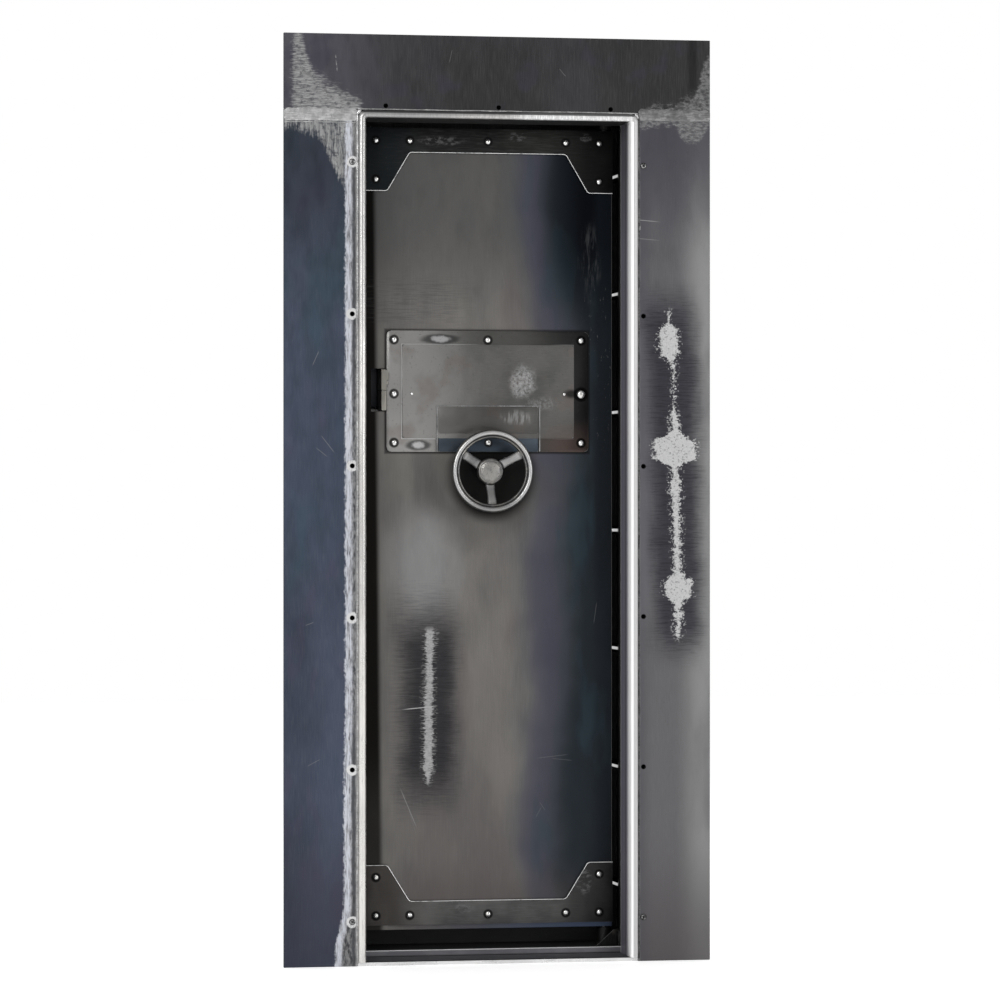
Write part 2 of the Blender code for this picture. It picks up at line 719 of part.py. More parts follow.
def raised_panel_into(bm, half_width, bottom, top, back_y):
    """A block with sloping sides that stands PANEL_PROUD in front of the cover plate."""
    outer = rounded_rectangle(half_width, bottom, top, COVER_CORNER / 2, 2)
    inner = rounded_rectangle(
        half_width - PANEL_SLOPE, bottom + PANEL_SLOPE, top - PANEL_SLOPE, COVER_CORNER / 2, 2
    )
    rings = [
        [bm.verts.new((x, back_y, z)) for x, z in outer],
        [bm.verts.new((x, COVER_FRONT_Y, z)) for x, z in outer],
        [bm.verts.new((x, PANEL_FRONT_Y, z)) for x, z in inner],
    ]
    for near, far in zip(rings, rings[1:]):
        for i in range(len(near)):
            j = (i + 1) % len(near)
            bm.faces.new((near[i], near[j], far[j], far[i]))
    bm.faces.new(rings[0])
    bm.faces.new(rings[-1])


def lock_cover(mats, body):
    """The lock's cover plate with its raised panel, notched at the bottom for the insert."""
    outline = rounded_rectangle(COVER_HALF, COVER_BOTTOM, COVER_TOP, COVER_CORNER)
    cover = prism("lock_cover", outline, "Y", COVER_FRONT_Y, COVER_BACK_Y, mats["cover_steel"], body)
    add_bevel(cover)

    def fill_panel(bm):
        raised_panel_into(bm, PANEL_HALF, PANEL_BOTTOM, PANEL_TOP, COVER_BACK_Y - COVER_THICK / 2)

    def fill_notch(bm):
        half = INSERT_HALF + GAP
        low = (-half, PANEL_FRONT_Y - SLIP, COVER_BOTTOM - SLIP)
        box_into(bm, low, (half, COVER_BACK_Y + SLIP, INSERT_TOP + GAP))
        screw_holes_into(bm, COVER_BACK_Y + SLIP)

    def fill_studs(bm):
        for x in (-STUD_X, STUD_X):
            start = (x, PANEL_FRONT_Y - STUD_HIGH, COVER_SCREW_ROWS[1])
            cylinder_into(bm, STUD_RADIUS * HEAD_CROWN, start, 2 * STUD_HIGH, "Y", HOLE_ROUND, STUD_RADIUS)

    boolean(cover, cutter("panel_lock_cover", fill_panel), "UNION")
    boolean(cover, cutter("studs_lock_cover", fill_studs), "UNION")
    boolean(cover, cutter("cut_lock_cover", fill_notch), "DIFFERENCE")


def lock_cover_insert(mats, body):
    """The plate that fills the cover's notch, stepped where the raised panel ends."""
    outline = [
        (COVER_BACK_Y, COVER_BOTTOM),
        (COVER_BACK_Y, INSERT_TOP),
        (PANEL_FRONT_Y, INSERT_TOP),
        (PANEL_FRONT_Y, PANEL_BOTTOM),
        (COVER_FRONT_Y, PANEL_BOTTOM - PANEL_SLOPE),
        (COVER_FRONT_Y, COVER_BOTTOM),
    ]
    insert = prism(
        "lock_cover_insert", outline, "X", -INSERT_HALF, INSERT_HALF, mats["cover_steel"], body
    )
    add_bevel(insert)

    def fill(bm):
        screw_holes_into(bm, COVER_BACK_Y + SLIP)

    boolean(insert, cutter("cut_insert", fill), "DIFFERENCE")


def cover_screws(mats, body):
    for place, x, z in cover_screw_places():
        name = f"cover_screw_{place}"
        screw(name, x, z, COVER_FRONT_Y, SCREW_HEAD, SCREW_SHANK, SCREW_DEPTH, mats, body)


def spindle_bearing(mats, body):
    """The flanged bush that carries the spindle through the front skin."""
    front = LEAF_FACE_Y - GAP
    bore = SPINDLE_RADIUS + SPINDLE_CLEARANCE
    proud = front - BEARING_FLANGE_THICK
    profile = [
        (bore, proud),
        (BEARING_FLANGE - BEARING_CHAMFER, proud),
        (BEARING_FLANGE, proud + BEARING_CHAMFER),
        (BEARING_FLANGE, front),
        (BEARING_RADIUS, front),
        (BEARING_RADIUS, BEARING_BACK_Y),
        (bore, BEARING_BACK_Y),
    ]
    turned("spindle_bearing", profile, (0, 0, WHEEL_Z), "Y", mats["bearing_bronze"], body, FINE_ROUND)


def pivot_pins(mats, body):
    """The two pins that the leaf turns on."""
    ends = (
        ("bottom", THRESHOLD_TOP + BUSH_BLIND + 2 * GAP, LEAF_BOTTOM + PIVOT_SOCKET - PIN_PLAY),
        ("top", LEAF_TOP - PIVOT_SOCKET + PIN_PLAY, SIDE_TOP - BUSH_BLIND - PIN_PLAY),
    )
    for end, low, high in ends:
        profile = [(0, low), (PIVOT_RADIUS, low), (PIVOT_RADIUS, high), (0, high)]
        turned(f"pivot_pin_{end}", profile, PIVOT, "Z", mats["bright_steel"], body, FINE_ROUND)


def dog_pins(mats, body):
    """Fixed pins on the pivot side, which stand behind the right strike bar while the leaf is shut."""
    start = LEAF_HALF - PIVOT_STILE + DOG_SEAT
    for i, z in enumerate(row(DOG_BOTTOM, DOG_PITCH, DOG_COUNT)):
        profile = [
            (0, start),
            (DOG_RADIUS, start),
            (DOG_RADIUS, DOG_TIP_X - END_CHAMFER),
            (DOG_RADIUS - END_CHAMFER, DOG_TIP_X),
            (0, DOG_TIP_X),
        ]
        turned(f"dog_pin_{i + 1}", profile, (0, BOLT_LINE_Y, z), "X", mats["bright_steel"], body)


# ---------- handwheel ----------
def rim_profile():
    """The rim's section: a round outer ring, a groove and a narrow inner ring."""
    front = RIM_FRONT_Y + RIM_RING
    outline = arc(RIM_OUTER - RIM_RING, front, RIM_RING, 0, -180, 6)
    groove_edge = RIM_OUTER - 2 * RIM_RING - GAP
    floor = front + RIM_GROOVE
    outline += [(groove_edge, floor), (groove_edge - RIM_GROOVE, floor)]
    outline += arc(RIM_INNER + INNER_RING, RIM_FRONT_Y + INNER_RING_BACK, INNER_RING, 0, -180, 3)
    inner, outer = RIM_BACK_INNER, RIM_BACK_OUTER
    outline += arc(RIM_INNER + inner, RIM_BACK_Y - inner, inner, 180, 90, 2)
    outline += arc(RIM_OUTER - outer, RIM_BACK_Y - outer, outer, 90, 0, 3)
    return outline


def spoke_into(bm, turn_deg):
    """A flat bar from the hub out and forward to the rim."""
    along = math.radians(turn_deg)
    outward = Vector((math.cos(along), 0, math.sin(along)))
    across = Vector((-math.sin(along), 0, math.cos(along)))
    root_y = HUB_FRONT_Y + SPOKE_ROOT_IN
    end_y = RIM_BACK_Y - SPOKE_END_IN
    corners = []
    for reach, y in ((SPOKE_ROOT, root_y), (SPOKE_END, end_y)):
        for side, front in ((-1, -1), (1, -1), (1, 1), (-1, 1)):
            place = outward * reach + across * (side * SPOKE_WIDTH / 2)
            place += Vector((0, y + front * SPOKE_THICK / 2, WHEEL_Z))
            corners.append(bm.verts.new(place))
    root, end = corners[:4], corners[4:]
    bm.faces.new(root)
    bm.faces.new(end)
    for i in range(4):
        j = (i + 1) % 4
        bm.faces.new((root[i], root[j], end[j], end[i]))


def handwheel(mats, body):
    """A dished wheel with three flat spokes, its rim nearer the viewer than its hub."""
    centre = (0, 0, WHEEL_Z)
    wheel = turned("handwheel", rim_profile(), centre, "Y", mats["cast_metal"], body, RIM_ROUND)
    bore = SPINDLE_RADIUS + SPINDLE_CLEARANCE
    across, along = HUB_BACK_CONE
    hub_profile = [
        (bore, HUB_FRONT_Y),
        (HUB_RADIUS - HUB_FRONT_CHAMFER, HUB_FRONT_Y),
        (HUB_RADIUS, HUB_FRONT_Y + HUB_FRONT_CHAMFER),
        (HUB_RADIUS, HUB_BACK_Y - along),
        (HUB_RADIUS - across, HUB_BACK_Y),
        (bore, HUB_BACK_Y),
    ]
    hub = turned("hub_of_handwheel", hub_profile, centre, "Y", mats["cast_metal"], body)

    def fill(bm):
        for i in range(SPOKE_COUNT):
            spoke_into(bm, SPOKE_FIRST_DEG + i * 360 / SPOKE_COUNT)
        bmesh.ops.recalc_face_normals(bm, faces=bm.faces[:])

    spokes = cutter("spokes_of_handwheel", fill, body)
    boolean(wheel, spokes, "UNION")
    boolean(wheel, hub, "UNION")


def hub_cap(mats, body):
    """The nut and cap that hold the wheel on its spindle."""
    back = HUB_FRONT_Y - GAP
    front = back - CAP_HIGH
    profile = [
        (0, front),
        (CAP_RADIUS - END_CHAMFER, front),
        (CAP_RADIUS, front + END_CHAMFER),
        (CAP_RADIUS, back),
        (0, back),
    ]
    turned("hub_cap", profile, (0, 0, WHEEL_Z), "Y", mats["cast_metal"], body)


def spindle(mats, body):
    """The shaft from the wheel to the pinion, thinner where the pinion sits."""
    shoulder = BEARING_BACK_Y + SHOULDER_IN
    profile = [
        (0, HUB_FRONT_Y + GAP),
        (SPINDLE_RADIUS, HUB_FRONT_Y + GAP),
        (SPINDLE_RADIUS, shoulder),
        (SPINDLE_NECK, shoulder),
        (SPINDLE_NECK, SPINDLE_END_Y),
        (0, SPINDLE_END_Y),
    ]
    turned("spindle", profile, (0, 0, WHEEL_Z), "Y", mats["bright_steel"], body, FINE_ROUND)


def involute_flank(base):
    """(radius, turn past the pitch point) along a tooth's flank, from its base circle to its tip."""
    def roll(radius):
        slope = math.sqrt(max((radius / base) ** 2 - 1, 0))
        return slope - math.atan(slope)

    start = roll(PITCH_RADIUS)
    tip = PITCH_RADIUS + TOOTH_ADDENDUM
    radii = [base + (tip - base) * i / FLANK_STEPS for i in range(FLANK_STEPS + 1)]
    return [(radius, start - roll(radius)) for radius in radii]


def pinion(mats, body):
    """An involute pinion with a tooth space straight down, over the rack's middle tooth."""
    base = PITCH_RADIUS * math.cos(PRESSURE_ANGLE)
    root = PITCH_RADIUS - TOOTH_DEDENDUM
    half_tooth = TOOTH_WIDTH / 2 / PITCH_RADIUS
    flank = involute_flank(base)
    flank.insert(0, (root, flank[0][1]))
    step = 2 * math.pi / TOOTH_COUNT
    points = []
    for i in range(TOOTH_COUNT):
        middle = -math.pi / 2 + step * (i + 0.5)
        points += [(radius, middle - half_tooth - turn) for radius, turn in flank]
        points += [(radius, middle + half_tooth + turn) for radius, turn in reversed(flank)]
    outline = [(r * math.cos(a), WHEEL_Z + r * math.sin(a)) for r, a in points]
    gear = prism("pinion", outline, "Y", GEAR_FRONT_Y, GEAR_BACK_Y, mats["bright_steel"], body)

    def fill(bm):
        start = (0, GEAR_FRONT_Y - SLIP, WHEEL_Z)
        length = GEAR_BACK_Y - GEAR_FRONT_Y + 2 * SLIP
        cylinder_into(bm, SPINDLE_NECK + SPINDLE_CLEARANCE, start, length, "Y", FINE_ROUND)

    boolean(gear, cutter("bore_pinion", fill), "DIFFERENCE")


# ---------- bolts ----------
def bolt_heights():
    return row(DOG_BOTTOM, DOG_PITCH * BOLT_EVERY, BOLT_COUNT)


def bolt_bar(mats, body):
    """The upright bar that carries the four bolts."""
    low = (BAR_LEFT_X, BAR_FRONT_Y, BAR_BOTTOM)
    box("bolt_bar", low, (BAR_RIGHT_X, BAR_FRONT_Y + BAR_THICK, BAR_TOP), mats["dark_steel"], body)


def bolts(mats, body):
    """Round bolts that stand a little out of the leaf's left edge at rest."""
    tip = -LEAF_HALF - BOLT_PROUD
    for i, z in enumerate(bolt_heights()):
        profile = [
            (0, tip),
            (BOLT_RADIUS - END_CHAMFER, tip),
            (BOLT_RADIUS, tip + END_CHAMFER),
            (BOLT_RADIUS, BAR_LEFT_X - GAP),
            (0, BAR_LEFT_X - GAP),
        ]
        turned(f"bolt_{i + 1}", profile, (0, BOLT_LINE_Y, z), "X", mats["bright_steel"], body)


def rack(mats, body):
    """A toothed bar under the pinion that draws the bolt bar across."""
    pitch_z = WHEEL_Z - PITCH_RADIUS
    tip_z = pitch_z + TOOTH_ADDENDUM
    root_z = pitch_z - TOOTH_DEDENDUM
    tip_half = TOOTH_WIDTH / 2 - TOOTH_ADDENDUM * math.tan(PRESSURE_ANGLE)
    root_half = TOOTH_WIDTH / 2 + TOOTH_DEDENDUM * math.tan(PRESSURE_ANGLE)
    start = BAR_RIGHT_X + GAP
    outline = [(start, root_z - RACK_HIGH), (RACK_END_X, root_z - RACK_HIGH), (RACK_END_X, root_z)]
    last = int(BOLT_THROW / TOOTH_PITCH) + SPARE_TEETH
    for i in range(last, -SPARE_TEETH - 1, -1):
        x = i * TOOTH_PITCH
        outline += [(x + root_half, root_z), (x + tip_half, tip_z)]
        outline += [(x - tip_half, tip_z), (x - root_half, root_z)]
    outline.append((start, root_z))
    prism("rack", outline, "Y", GEAR_FRONT_Y, GEAR_BACK_Y, mats["bright_steel"], body)


def bolt_tab(mats, body):
    """The thumb tab that moves with the bolts and shows in the slot beside the cover."""
    rear = BAR_FRONT_Y - GAP
    seat = COVER_FRONT_Y - GAP
    low = (TAB_LEFT_X, seat - TAB_HEAD_SEAT, TAB_BOTTOM)
    tab = box("bolt_tab", low, (TAB_RIGHT_X, rear, TAB_TOP), mats["bright_steel"], body)

    def fill(bm):
        outline = [
            (TAB_LEFT_X, TAB_HEAD_BOTTOM),
            (TAB_HEAD_X, TAB_HEAD_BOTTOM),
            (TAB_HEAD_X, TAB_TOP - TAB_CHAMFER),
            (TAB_HEAD_X - TAB_CHAMFER, TAB_TOP),
            (TAB_LEFT_X, TAB_TOP),
        ]
        prism_into(bm, outline, "Y", TAB_FRONT_Y, seat)

    boolean(tab, cutter("head_bolt_tab", fill, body), "UNION")


# ---------- assembly ----------
def clear_scene():
    for obj in list(bpy.data.objects):
        bpy.data.objects.remove(obj, do_unlink=True)


def make_body(name, place, parent=None):
    """An empty on a joint's axis, which carries the pieces that move together."""
    empty = bpy.data.objects.new(name, None)
    bpy.context.scene.collection.objects.link(empty)
    empty.location = place
    if parent is not None:
        empty.parent = parent
        empty.matrix_parent_inverse = Matrix.Translation(-parent.location)
    return empty


def build():
    clear_scene()
    mats = make_materials()
    frame = make_body("body_frame", Vector((0, 0, 0)))
    door = make_body("body_door", PIVOT, frame)
    wheel = make_body("body_wheel", Vector((0, HUB_FRONT_Y, WHEEL_Z)), door)
    bolt_set = make_body("body_bolts", Vector((BAR_LEFT_X, BOLT_LINE_Y, WHEEL_Z)), door)
    for make in (
        face_plates,
        liners,
        casings,
        floor_plates,
        rear_stop,
        strike_bars,
        pivot_bushes,
        frame_screws,
    ):
        make(mats, frame)
    for make in (
        leaf_plates,
        leaf_core,
        reinforcing_plates,
        lock_cover,
        lock_cover_insert,
        cover_screws,
        spindle_bearing,
        pivot_pins,
        dog_pins,
    ):
        make(mats, door)
    for make in (handwheel, hub_cap, spindle, pinion):
        make(mats, wheel)
    for make in (bolt_bar, bolts, rack, bolt_tab):
        make(mats, bolt_set)


build()
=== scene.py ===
"""Looks of the vault door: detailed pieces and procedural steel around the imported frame."""

import math

import bmesh
import bpy
from mathutils import Matrix, Vector, noise


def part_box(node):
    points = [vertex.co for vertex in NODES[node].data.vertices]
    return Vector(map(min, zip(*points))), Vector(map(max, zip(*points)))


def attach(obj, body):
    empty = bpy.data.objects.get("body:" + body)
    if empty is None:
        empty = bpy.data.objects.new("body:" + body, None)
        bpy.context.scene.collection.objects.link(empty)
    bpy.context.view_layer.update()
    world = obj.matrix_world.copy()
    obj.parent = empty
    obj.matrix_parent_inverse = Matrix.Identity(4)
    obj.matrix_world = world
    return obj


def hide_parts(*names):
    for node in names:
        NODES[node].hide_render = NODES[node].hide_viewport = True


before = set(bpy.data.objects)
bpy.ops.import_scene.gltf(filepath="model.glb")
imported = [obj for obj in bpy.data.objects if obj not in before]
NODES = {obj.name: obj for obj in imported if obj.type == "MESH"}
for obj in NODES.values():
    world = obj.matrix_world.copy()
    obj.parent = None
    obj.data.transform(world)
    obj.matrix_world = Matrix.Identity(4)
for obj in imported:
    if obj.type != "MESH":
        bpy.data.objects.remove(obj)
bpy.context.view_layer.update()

# ---------- places on the object, in metres ----------
FACE_Y = -0.010  # front of the face plates
FACE_OUTER, FACE_INNER = 0.5335, 0.3515  # x of their edges
BEAD_Y = -0.0105  # middle of the beads round the opening
HOLE_X = 0.3645
HOLE_BOTTOM = 0.109
HOLE_PITCH = 0.3726
HOLE_RADIUS = 0.0056
HEAD_HOLES = ((-0.2815, 2.1109), (0.0, 2.1109), (0.2815, 2.1109))
PIN_BOTTOM = 0.178
PIN_PITCH = 0.2965
PIN_START = 0.3185
WHEEL = Vector((0, 0.1085, 1.2152))
LEAF_Y = 0.1528  # front of the leaf's front plate
PLATE_Y = 0.1447  # front of the reinforcing plates
COVER_Y = 0.1467  # front of the lock cover
PANEL_Y = 0.1397  # front of its raised panel
INSERT_BACK_Y = 0.1520
STEP_Y = 0.1402  # front of the insert's lower half
COVER = (0.2563, 1.2634, 1.5659)  # half width, lowest z and highest z
PANEL = (0.2171, 1.2973, 1.5311)
RIVET_X = (-0.2835, -0.198, 0, 0.198, 0.2835)
COVER_SCREW_X = 0.2375
COVER_ROWS = (1.2863, 1.4083, 1.5433)


def rgb(red, green, blue):
    """An sRGB colour given as 0 to 255, in linear light."""
    def linear(value):
        value /= 255
        return value / 12.92 if value <= 0.04045 else ((value + 0.055) / 1.055) ** 2.4
    return (linear(red), linear(green), linear(blue), 1.0)


def grey(value):
    return rgb(value, value, value)


# ---------- materials ----------
def operator(kind, swapped=False):
    """A method of Value that adds one math node."""
    def method(self, other=None):
        first, second = (other, self) if swapped else (self, other)
        return self.surface.math(kind, first, second)
    return method


class Value:
    """A number that varies over a surface, with arithmetic that builds the nodes."""

    def __init__(self, surface, socket):
        self.surface, self.socket = surface, socket

    __add__, __radd__ = operator("ADD"), operator("ADD", True)
    __sub__, __rsub__ = operator("SUBTRACT"), operator("SUBTRACT", True)
    __mul__, __rmul__ = operator("MULTIPLY"), operator("MULTIPLY", True)
    __truediv__, __abs__ = operator("DIVIDE"), operator("ABSOLUTE")
    both, either, modulo = operator("MINIMUM"), operator("MAXIMUM"), operator("FLOORED_MODULO")

    def step(self, low, high):
        """0 at low and 1 at high with a smooth rise; low may be the larger."""
        return self.surface.map_range(self, low, high)

    def near(self, middle, far, close):
        """1 within close of the middle, falling to 0 at far."""
        return abs(self - middle).step(far, close)

    def band(self, a, b, c, d):
        """Rises from a to b and falls again from c to d, in either direction."""
        return self.step(a, b) * self.step(c, d)

    def repeat(self, first, pitch):
        """The distance past the nearest of a row of places, the first of them at first."""
        return (self - (first - pitch / 2)).modulo(pitch) - pitch / 2

    def root(self):
        return self.surface.math("SQRT", self)


class Surface:
    """A node material painted in layers, in the object's own metres."""

    def __init__(self, name, colour, rough, metallic=0.9):
        self.material = bpy.data.materials.new(name)
        self.material.use_nodes = True
        self.tree = self.material.node_tree
        self.shader = self.tree.nodes["Principled BSDF"]
        coordinates = self.node("ShaderNodeTexCoord")
        self.place = coordinates.outputs["Object"]
        split = self.node("ShaderNodeSeparateXYZ")
        self.tree.links.new(self.place, split.inputs[0])
        self.x, self.y, self.z = (Value(self, s) for s in split.outputs)
        self.colour, self.rough, self.metal, self.height = colour, rough, metallic, 0.0
        self.seed = 0.0

    def node(self, kind, **settings):
        made = self.tree.nodes.new(kind)
        for key, value in settings.items():
            setattr(made, key, value)
        return made

    def feed(self, value, socket):
        if isinstance(value, Value):
            self.tree.links.new(value.socket, socket)
        elif value is not None:
            socket.default_value = value

    def math(self, kind, first, second=None):
        made = self.node("ShaderNodeMath", operation=kind)
        for value, socket in zip((first, second), made.inputs):
            self.feed(value, socket)
        return Value(self, made.outputs[0])

    def map_range(self, value, low, high):
        made = self.node("ShaderNodeMapRange", interpolation_type="SMOOTHSTEP")
        self.feed(value, made.inputs["Value"])
        self.feed(low, made.inputs["From Min"])
        self.feed(high, made.inputs["From Max"])
        return Value(self, made.outputs["Result"])

    def cells(self, count, shifts):
        """The place in cells, moved along by a new seed; count per metre is one number, or x, y and z."""
        self.seed += 1.37
        made = self.node("ShaderNodeVectorMath", operation="MULTIPLY_ADD")
        self.tree.links.new(self.place, made.inputs[0])
        made.inputs[1].default_value = count if isinstance(count, tuple) else (count, count, count)
        made.inputs[2].default_value = [self.seed * shift for shift in shifts]
        return made.outputs[0]

    def noise(self, count, detail=3.0, rough=0.55):
        """Cloudy noise with this many cells per metre."""
        place = self.cells(count, (3.1, 1.7, 2.3))
        made = self.node("ShaderNodeTexNoise")
        self.tree.links.new(place, made.inputs["Vector"])
        for key, value in (("Scale", 1.0), ("Detail", detail), ("Roughness", rough)):
            made.inputs[key].default_value = value
        return Value(self, made.outputs["Fac"])

    def sway(self, reach, *noise):
        """Cloudy noise round 0; reach is the distance between its extremes."""
        return (self.noise(*noise) - 0.5) * reach

    def chips(self, count):
        """A random value for each blocky cell, with this many cells per metre."""
        place = self.cells(count, (2.9, 1.3, 2.1))
        made = self.node("ShaderNodeTexVoronoi", distance="CHEBYCHEV")
        self.tree.links.new(place, made.inputs["Vector"])
        made.inputs["Scale"].default_value = 1.0
        split = self.node("ShaderNodeSeparateColor")
        self.tree.links.new(made.outputs["Color"], split.inputs[0])
        return Value(self, split.outputs[0])

    def mix(self, mask, below, above, kind="RGBA", sockets=(6, 7, 2)):
        """Colour below where the mask is 0, and above where it is 1."""
        made = self.node("ShaderNodeMix", data_type=kind, clamp_factor=True)
        low, high, result = sockets
        for value, socket in ((mask, 0), (below, low), (above, high)):
            self.feed(value, made.inputs[socket])
        return Value(self, made.outputs[result])

    def blend(self, mask, below, above):
        """The same for a number."""
        return self.mix(mask, below, above, "FLOAT", (2, 3, 0))

    def layer(self, mask, colour, rough=None, metal=None):
        self.colour = self.mix(mask, self.colour, colour)
        if rough is not None:
            self.rough = self.blend(mask, self.rough, rough)
        if metal is not None:
            self.metal = self.blend(mask, self.metal, metal)

    def raise_by(self, height):
        self.height = height + self.height if isinstance(self.height, Value) else height

    def disc(self, x, z, radius_x, radius_z=None):
        """Distance from a point in the xz plane, 1 on the ellipse or the circle."""
        across, up = (self.x - x) / radius_x, (self.z - z) / (radius_z or radius_x)
        return (across * across + up * up).root()

    def blob(self, x, z, radius_x, radius_z, cells, reach):
        """A disc with a cloudy outline."""
        return self.disc(x, z, radius_x, radius_z) + self.sway(reach, cells)

    def wheel_disc(self, radius):
        return self.disc(WHEEL.x, WHEEL.z, radius)

    def outside(self, half_x, low, high):
        """How far outside an upright rectangle."""
        return (abs(self.x) - half_x).either(abs(self.z - (low + high) / 2) - (high - low) / 2)

    def finished(self):
        self.feed(self.colour, self.shader.inputs["Base Color"])
        self.feed(self.rough, self.shader.inputs["Roughness"])
        self.feed(self.metal, self.shader.inputs["Metallic"])
        if isinstance(self.height, Value):
            bump = self.node("ShaderNodeBump")
            for key in ("Distance", "Strength"):
                bump.inputs[key].default_value = 1.0
            self.feed(self.height, bump.inputs["Height"])
            self.tree.links.new(bump.outputs[0], self.shader.inputs["Normal"])
        return self.material


def rolled(name, dark, light, rough=0.42, metallic=0.9, cells=(3.0, 3.0, 1.4), grain=(500, 60, 22)):
    """Hot-rolled plate: cloudy tone, drawn grain and fine pits."""
    s = Surface(name, dark, rough, metallic)
    cloud = s.noise(cells, 4.0)
    s.layer(cloud.step(0.36, 0.64), light, rough)
    fine = s.noise(grain, 2.0)
    s.layer(fine.step(0.40, 0.75) * 0.14, s.mix(0.35, light, grey(150)))
    speck = s.noise(420, 2.0, 0.7)
    s.layer(speck.step(0.60, 0.78) * 0.30, dark)
    s.rough = s.blend(s.noise((30, 30, 12)).step(0.3, 0.7), rough - 0.06, rough + 0.08)
    s.raise_by(fine * 0.00010 + speck * 0.00012)
    return s


def scratches(s, cells, patch, width=0.004):
    """Hairlines: thin contours of a noise drawn out along z, shown only inside a patch mask."""
    line = abs(s.noise(cells, 0.0, 0.3) - 0.5).step(width, 0.0)
    s.layer(line * patch, grey(150), 0.3)


def hairlines(s, lines, tone=140):
    """Straight scratches: x and z of the middle, half length, lean from upright in degrees, strength."""
    for x, z, half, lean, strength in lines:
        a = math.radians(lean)
        along = (s.x - x) * math.sin(a) + (s.z - z) * math.cos(a)
        across = (s.x - x) * math.cos(a) - (s.z - z) * math.sin(a)
        line = abs(across).step(0.0013, 0.0004) * abs(along).step(half, half * 0.6)
        s.layer(line * strength, grey(tone), 0.34)


def plain_back(s, dark, light):
    """Mill scale on the back and the edges of a face plate, which no grinder has reached."""
    scale = s.noise((5, 5, 3), 4.0, 0.6)
    s.layer(s.y.step(-0.0096, -0.0088), s.mix(scale.step(0.35, 0.65), dark, light), 0.5)


def worn_patch(s, field, tone, strokes=(50, 50, 420), strength=0.9, rough=0.42):
    """Grinding marks: feathered strokes over a field that is 1 inside and falls to 0 outside."""
    brush = s.noise(strokes, 4.0, 0.7)
    blotch = s.noise((85, 85, 110), 4.0, 0.68)
    broad = s.noise((22, 22, 26), 3.0, 0.6)
    cover = field * 1.1 + (blotch - 0.5) * 1.3 + (brush - 0.5) * 2.2 + (broad - 0.5) * 1.2
    cover = cover.step(0.25, 1.35) * field.step(0.0, 0.3)
    shade = s.mix(brush.step(0.30, 0.68), grey(tone - 34), grey(tone + 16))
    s.layer(cover * strength, s.mix(blotch.step(0.48, 0.34) * 0.6, shade, grey(60)), rough)
    s.raise_by(cover * brush * 0.0002)


def halo_streak(s, centre, half, bright, ends, halo, halo_tone, break_up, chips, gaps=0.0):
    """A ground streak: a crumbling bright core inside a darker heat-tinted halo.

    centre and half are x and half width, which may vary with z; ends is (lowest, highest) z.
    break_up is how far the chipped edge strays, in metres; gaps thins the core where it is 1.
    chips is (cells per metre across, along) of the coarse chips on the edge."""
    low, high = ends
    reach, fade = halo
    across, along = chips
    inside = s.z.step(low - reach, low + fade).both(s.z.step(high + reach, high - fade))
    away = abs(s.x - centre)
    cloudy, brush = s.noise((14, 14, 7)), s.noise((26, 26, 480), 3.0, 0.7)
    shadow = (away + (cloudy - 0.5) * 0.05).step(reach, reach * 0.30) * inside
    s.layer(shadow * 0.92, halo_tone)
    s.layer(shadow * brush.step(0.52, 0.40) * 0.6, s.mix(0.5, halo_tone, grey(12)))
    span = s.z.step(low - 0.010, low + 0.014).both(s.z.step(high + 0.010, high - 0.010))
    coarse, fine = s.chips((across, across, along)), s.chips((across * 3, across * 3, along * 3))
    lumps = s.noise((60, 60, 75), 3.0, 0.7)
    grit = s.noise(300, 3.0, 0.8)
    taper = 1 - s.z.step(low + 0.045, low) * 0.75
    stray = (coarse - 0.5) * 0.8 + (fine - 0.5) * 0.75 + (lumps - 0.5) * 2.6
    edge = half * taper - away + stray * break_up - gaps * 0.0055
    core = edge.step(-0.0025, 0.0035) * span
    dots = (edge + 0.009).step(-0.003, 0.006) * fine.step(0.74, 0.80) * span
    s.layer(dots * 0.45, bright, 0.38)
    s.layer(core * (0.70 + 0.30 * grit.step(0.3, 0.6)), bright, 0.36)
    s.layer(core * fine.step(0.84, 0.92) * 0.45, halo_tone)
    s.raise_by(core * 0.00012 + grit * core * 0.0002)


def hole_rings(s, sign, ring):
    """Bright ground rings round the line of fixing holes, and painted shade as a dark rim in each hole."""
    across = s.x - sign * HOLE_X
    up = s.z.repeat(HOLE_BOTTOM, HOLE_PITCH)
    away = (across * across + up * up).root()
    if ring:
        wobble = s.sway(0.007, 90, 2.0)
        grain = s.noise(240, 3.0, 0.7)
        s.layer((away + wobble).step(ring, ring * 0.8) * grain.step(0.26, 0.46), grey(204), 0.38)
    # Painted shade at the rim of each hole.
    s.layer(away.step(HOLE_RADIUS + 0.0012, HOLE_RADIUS), grey(12), 0.6)


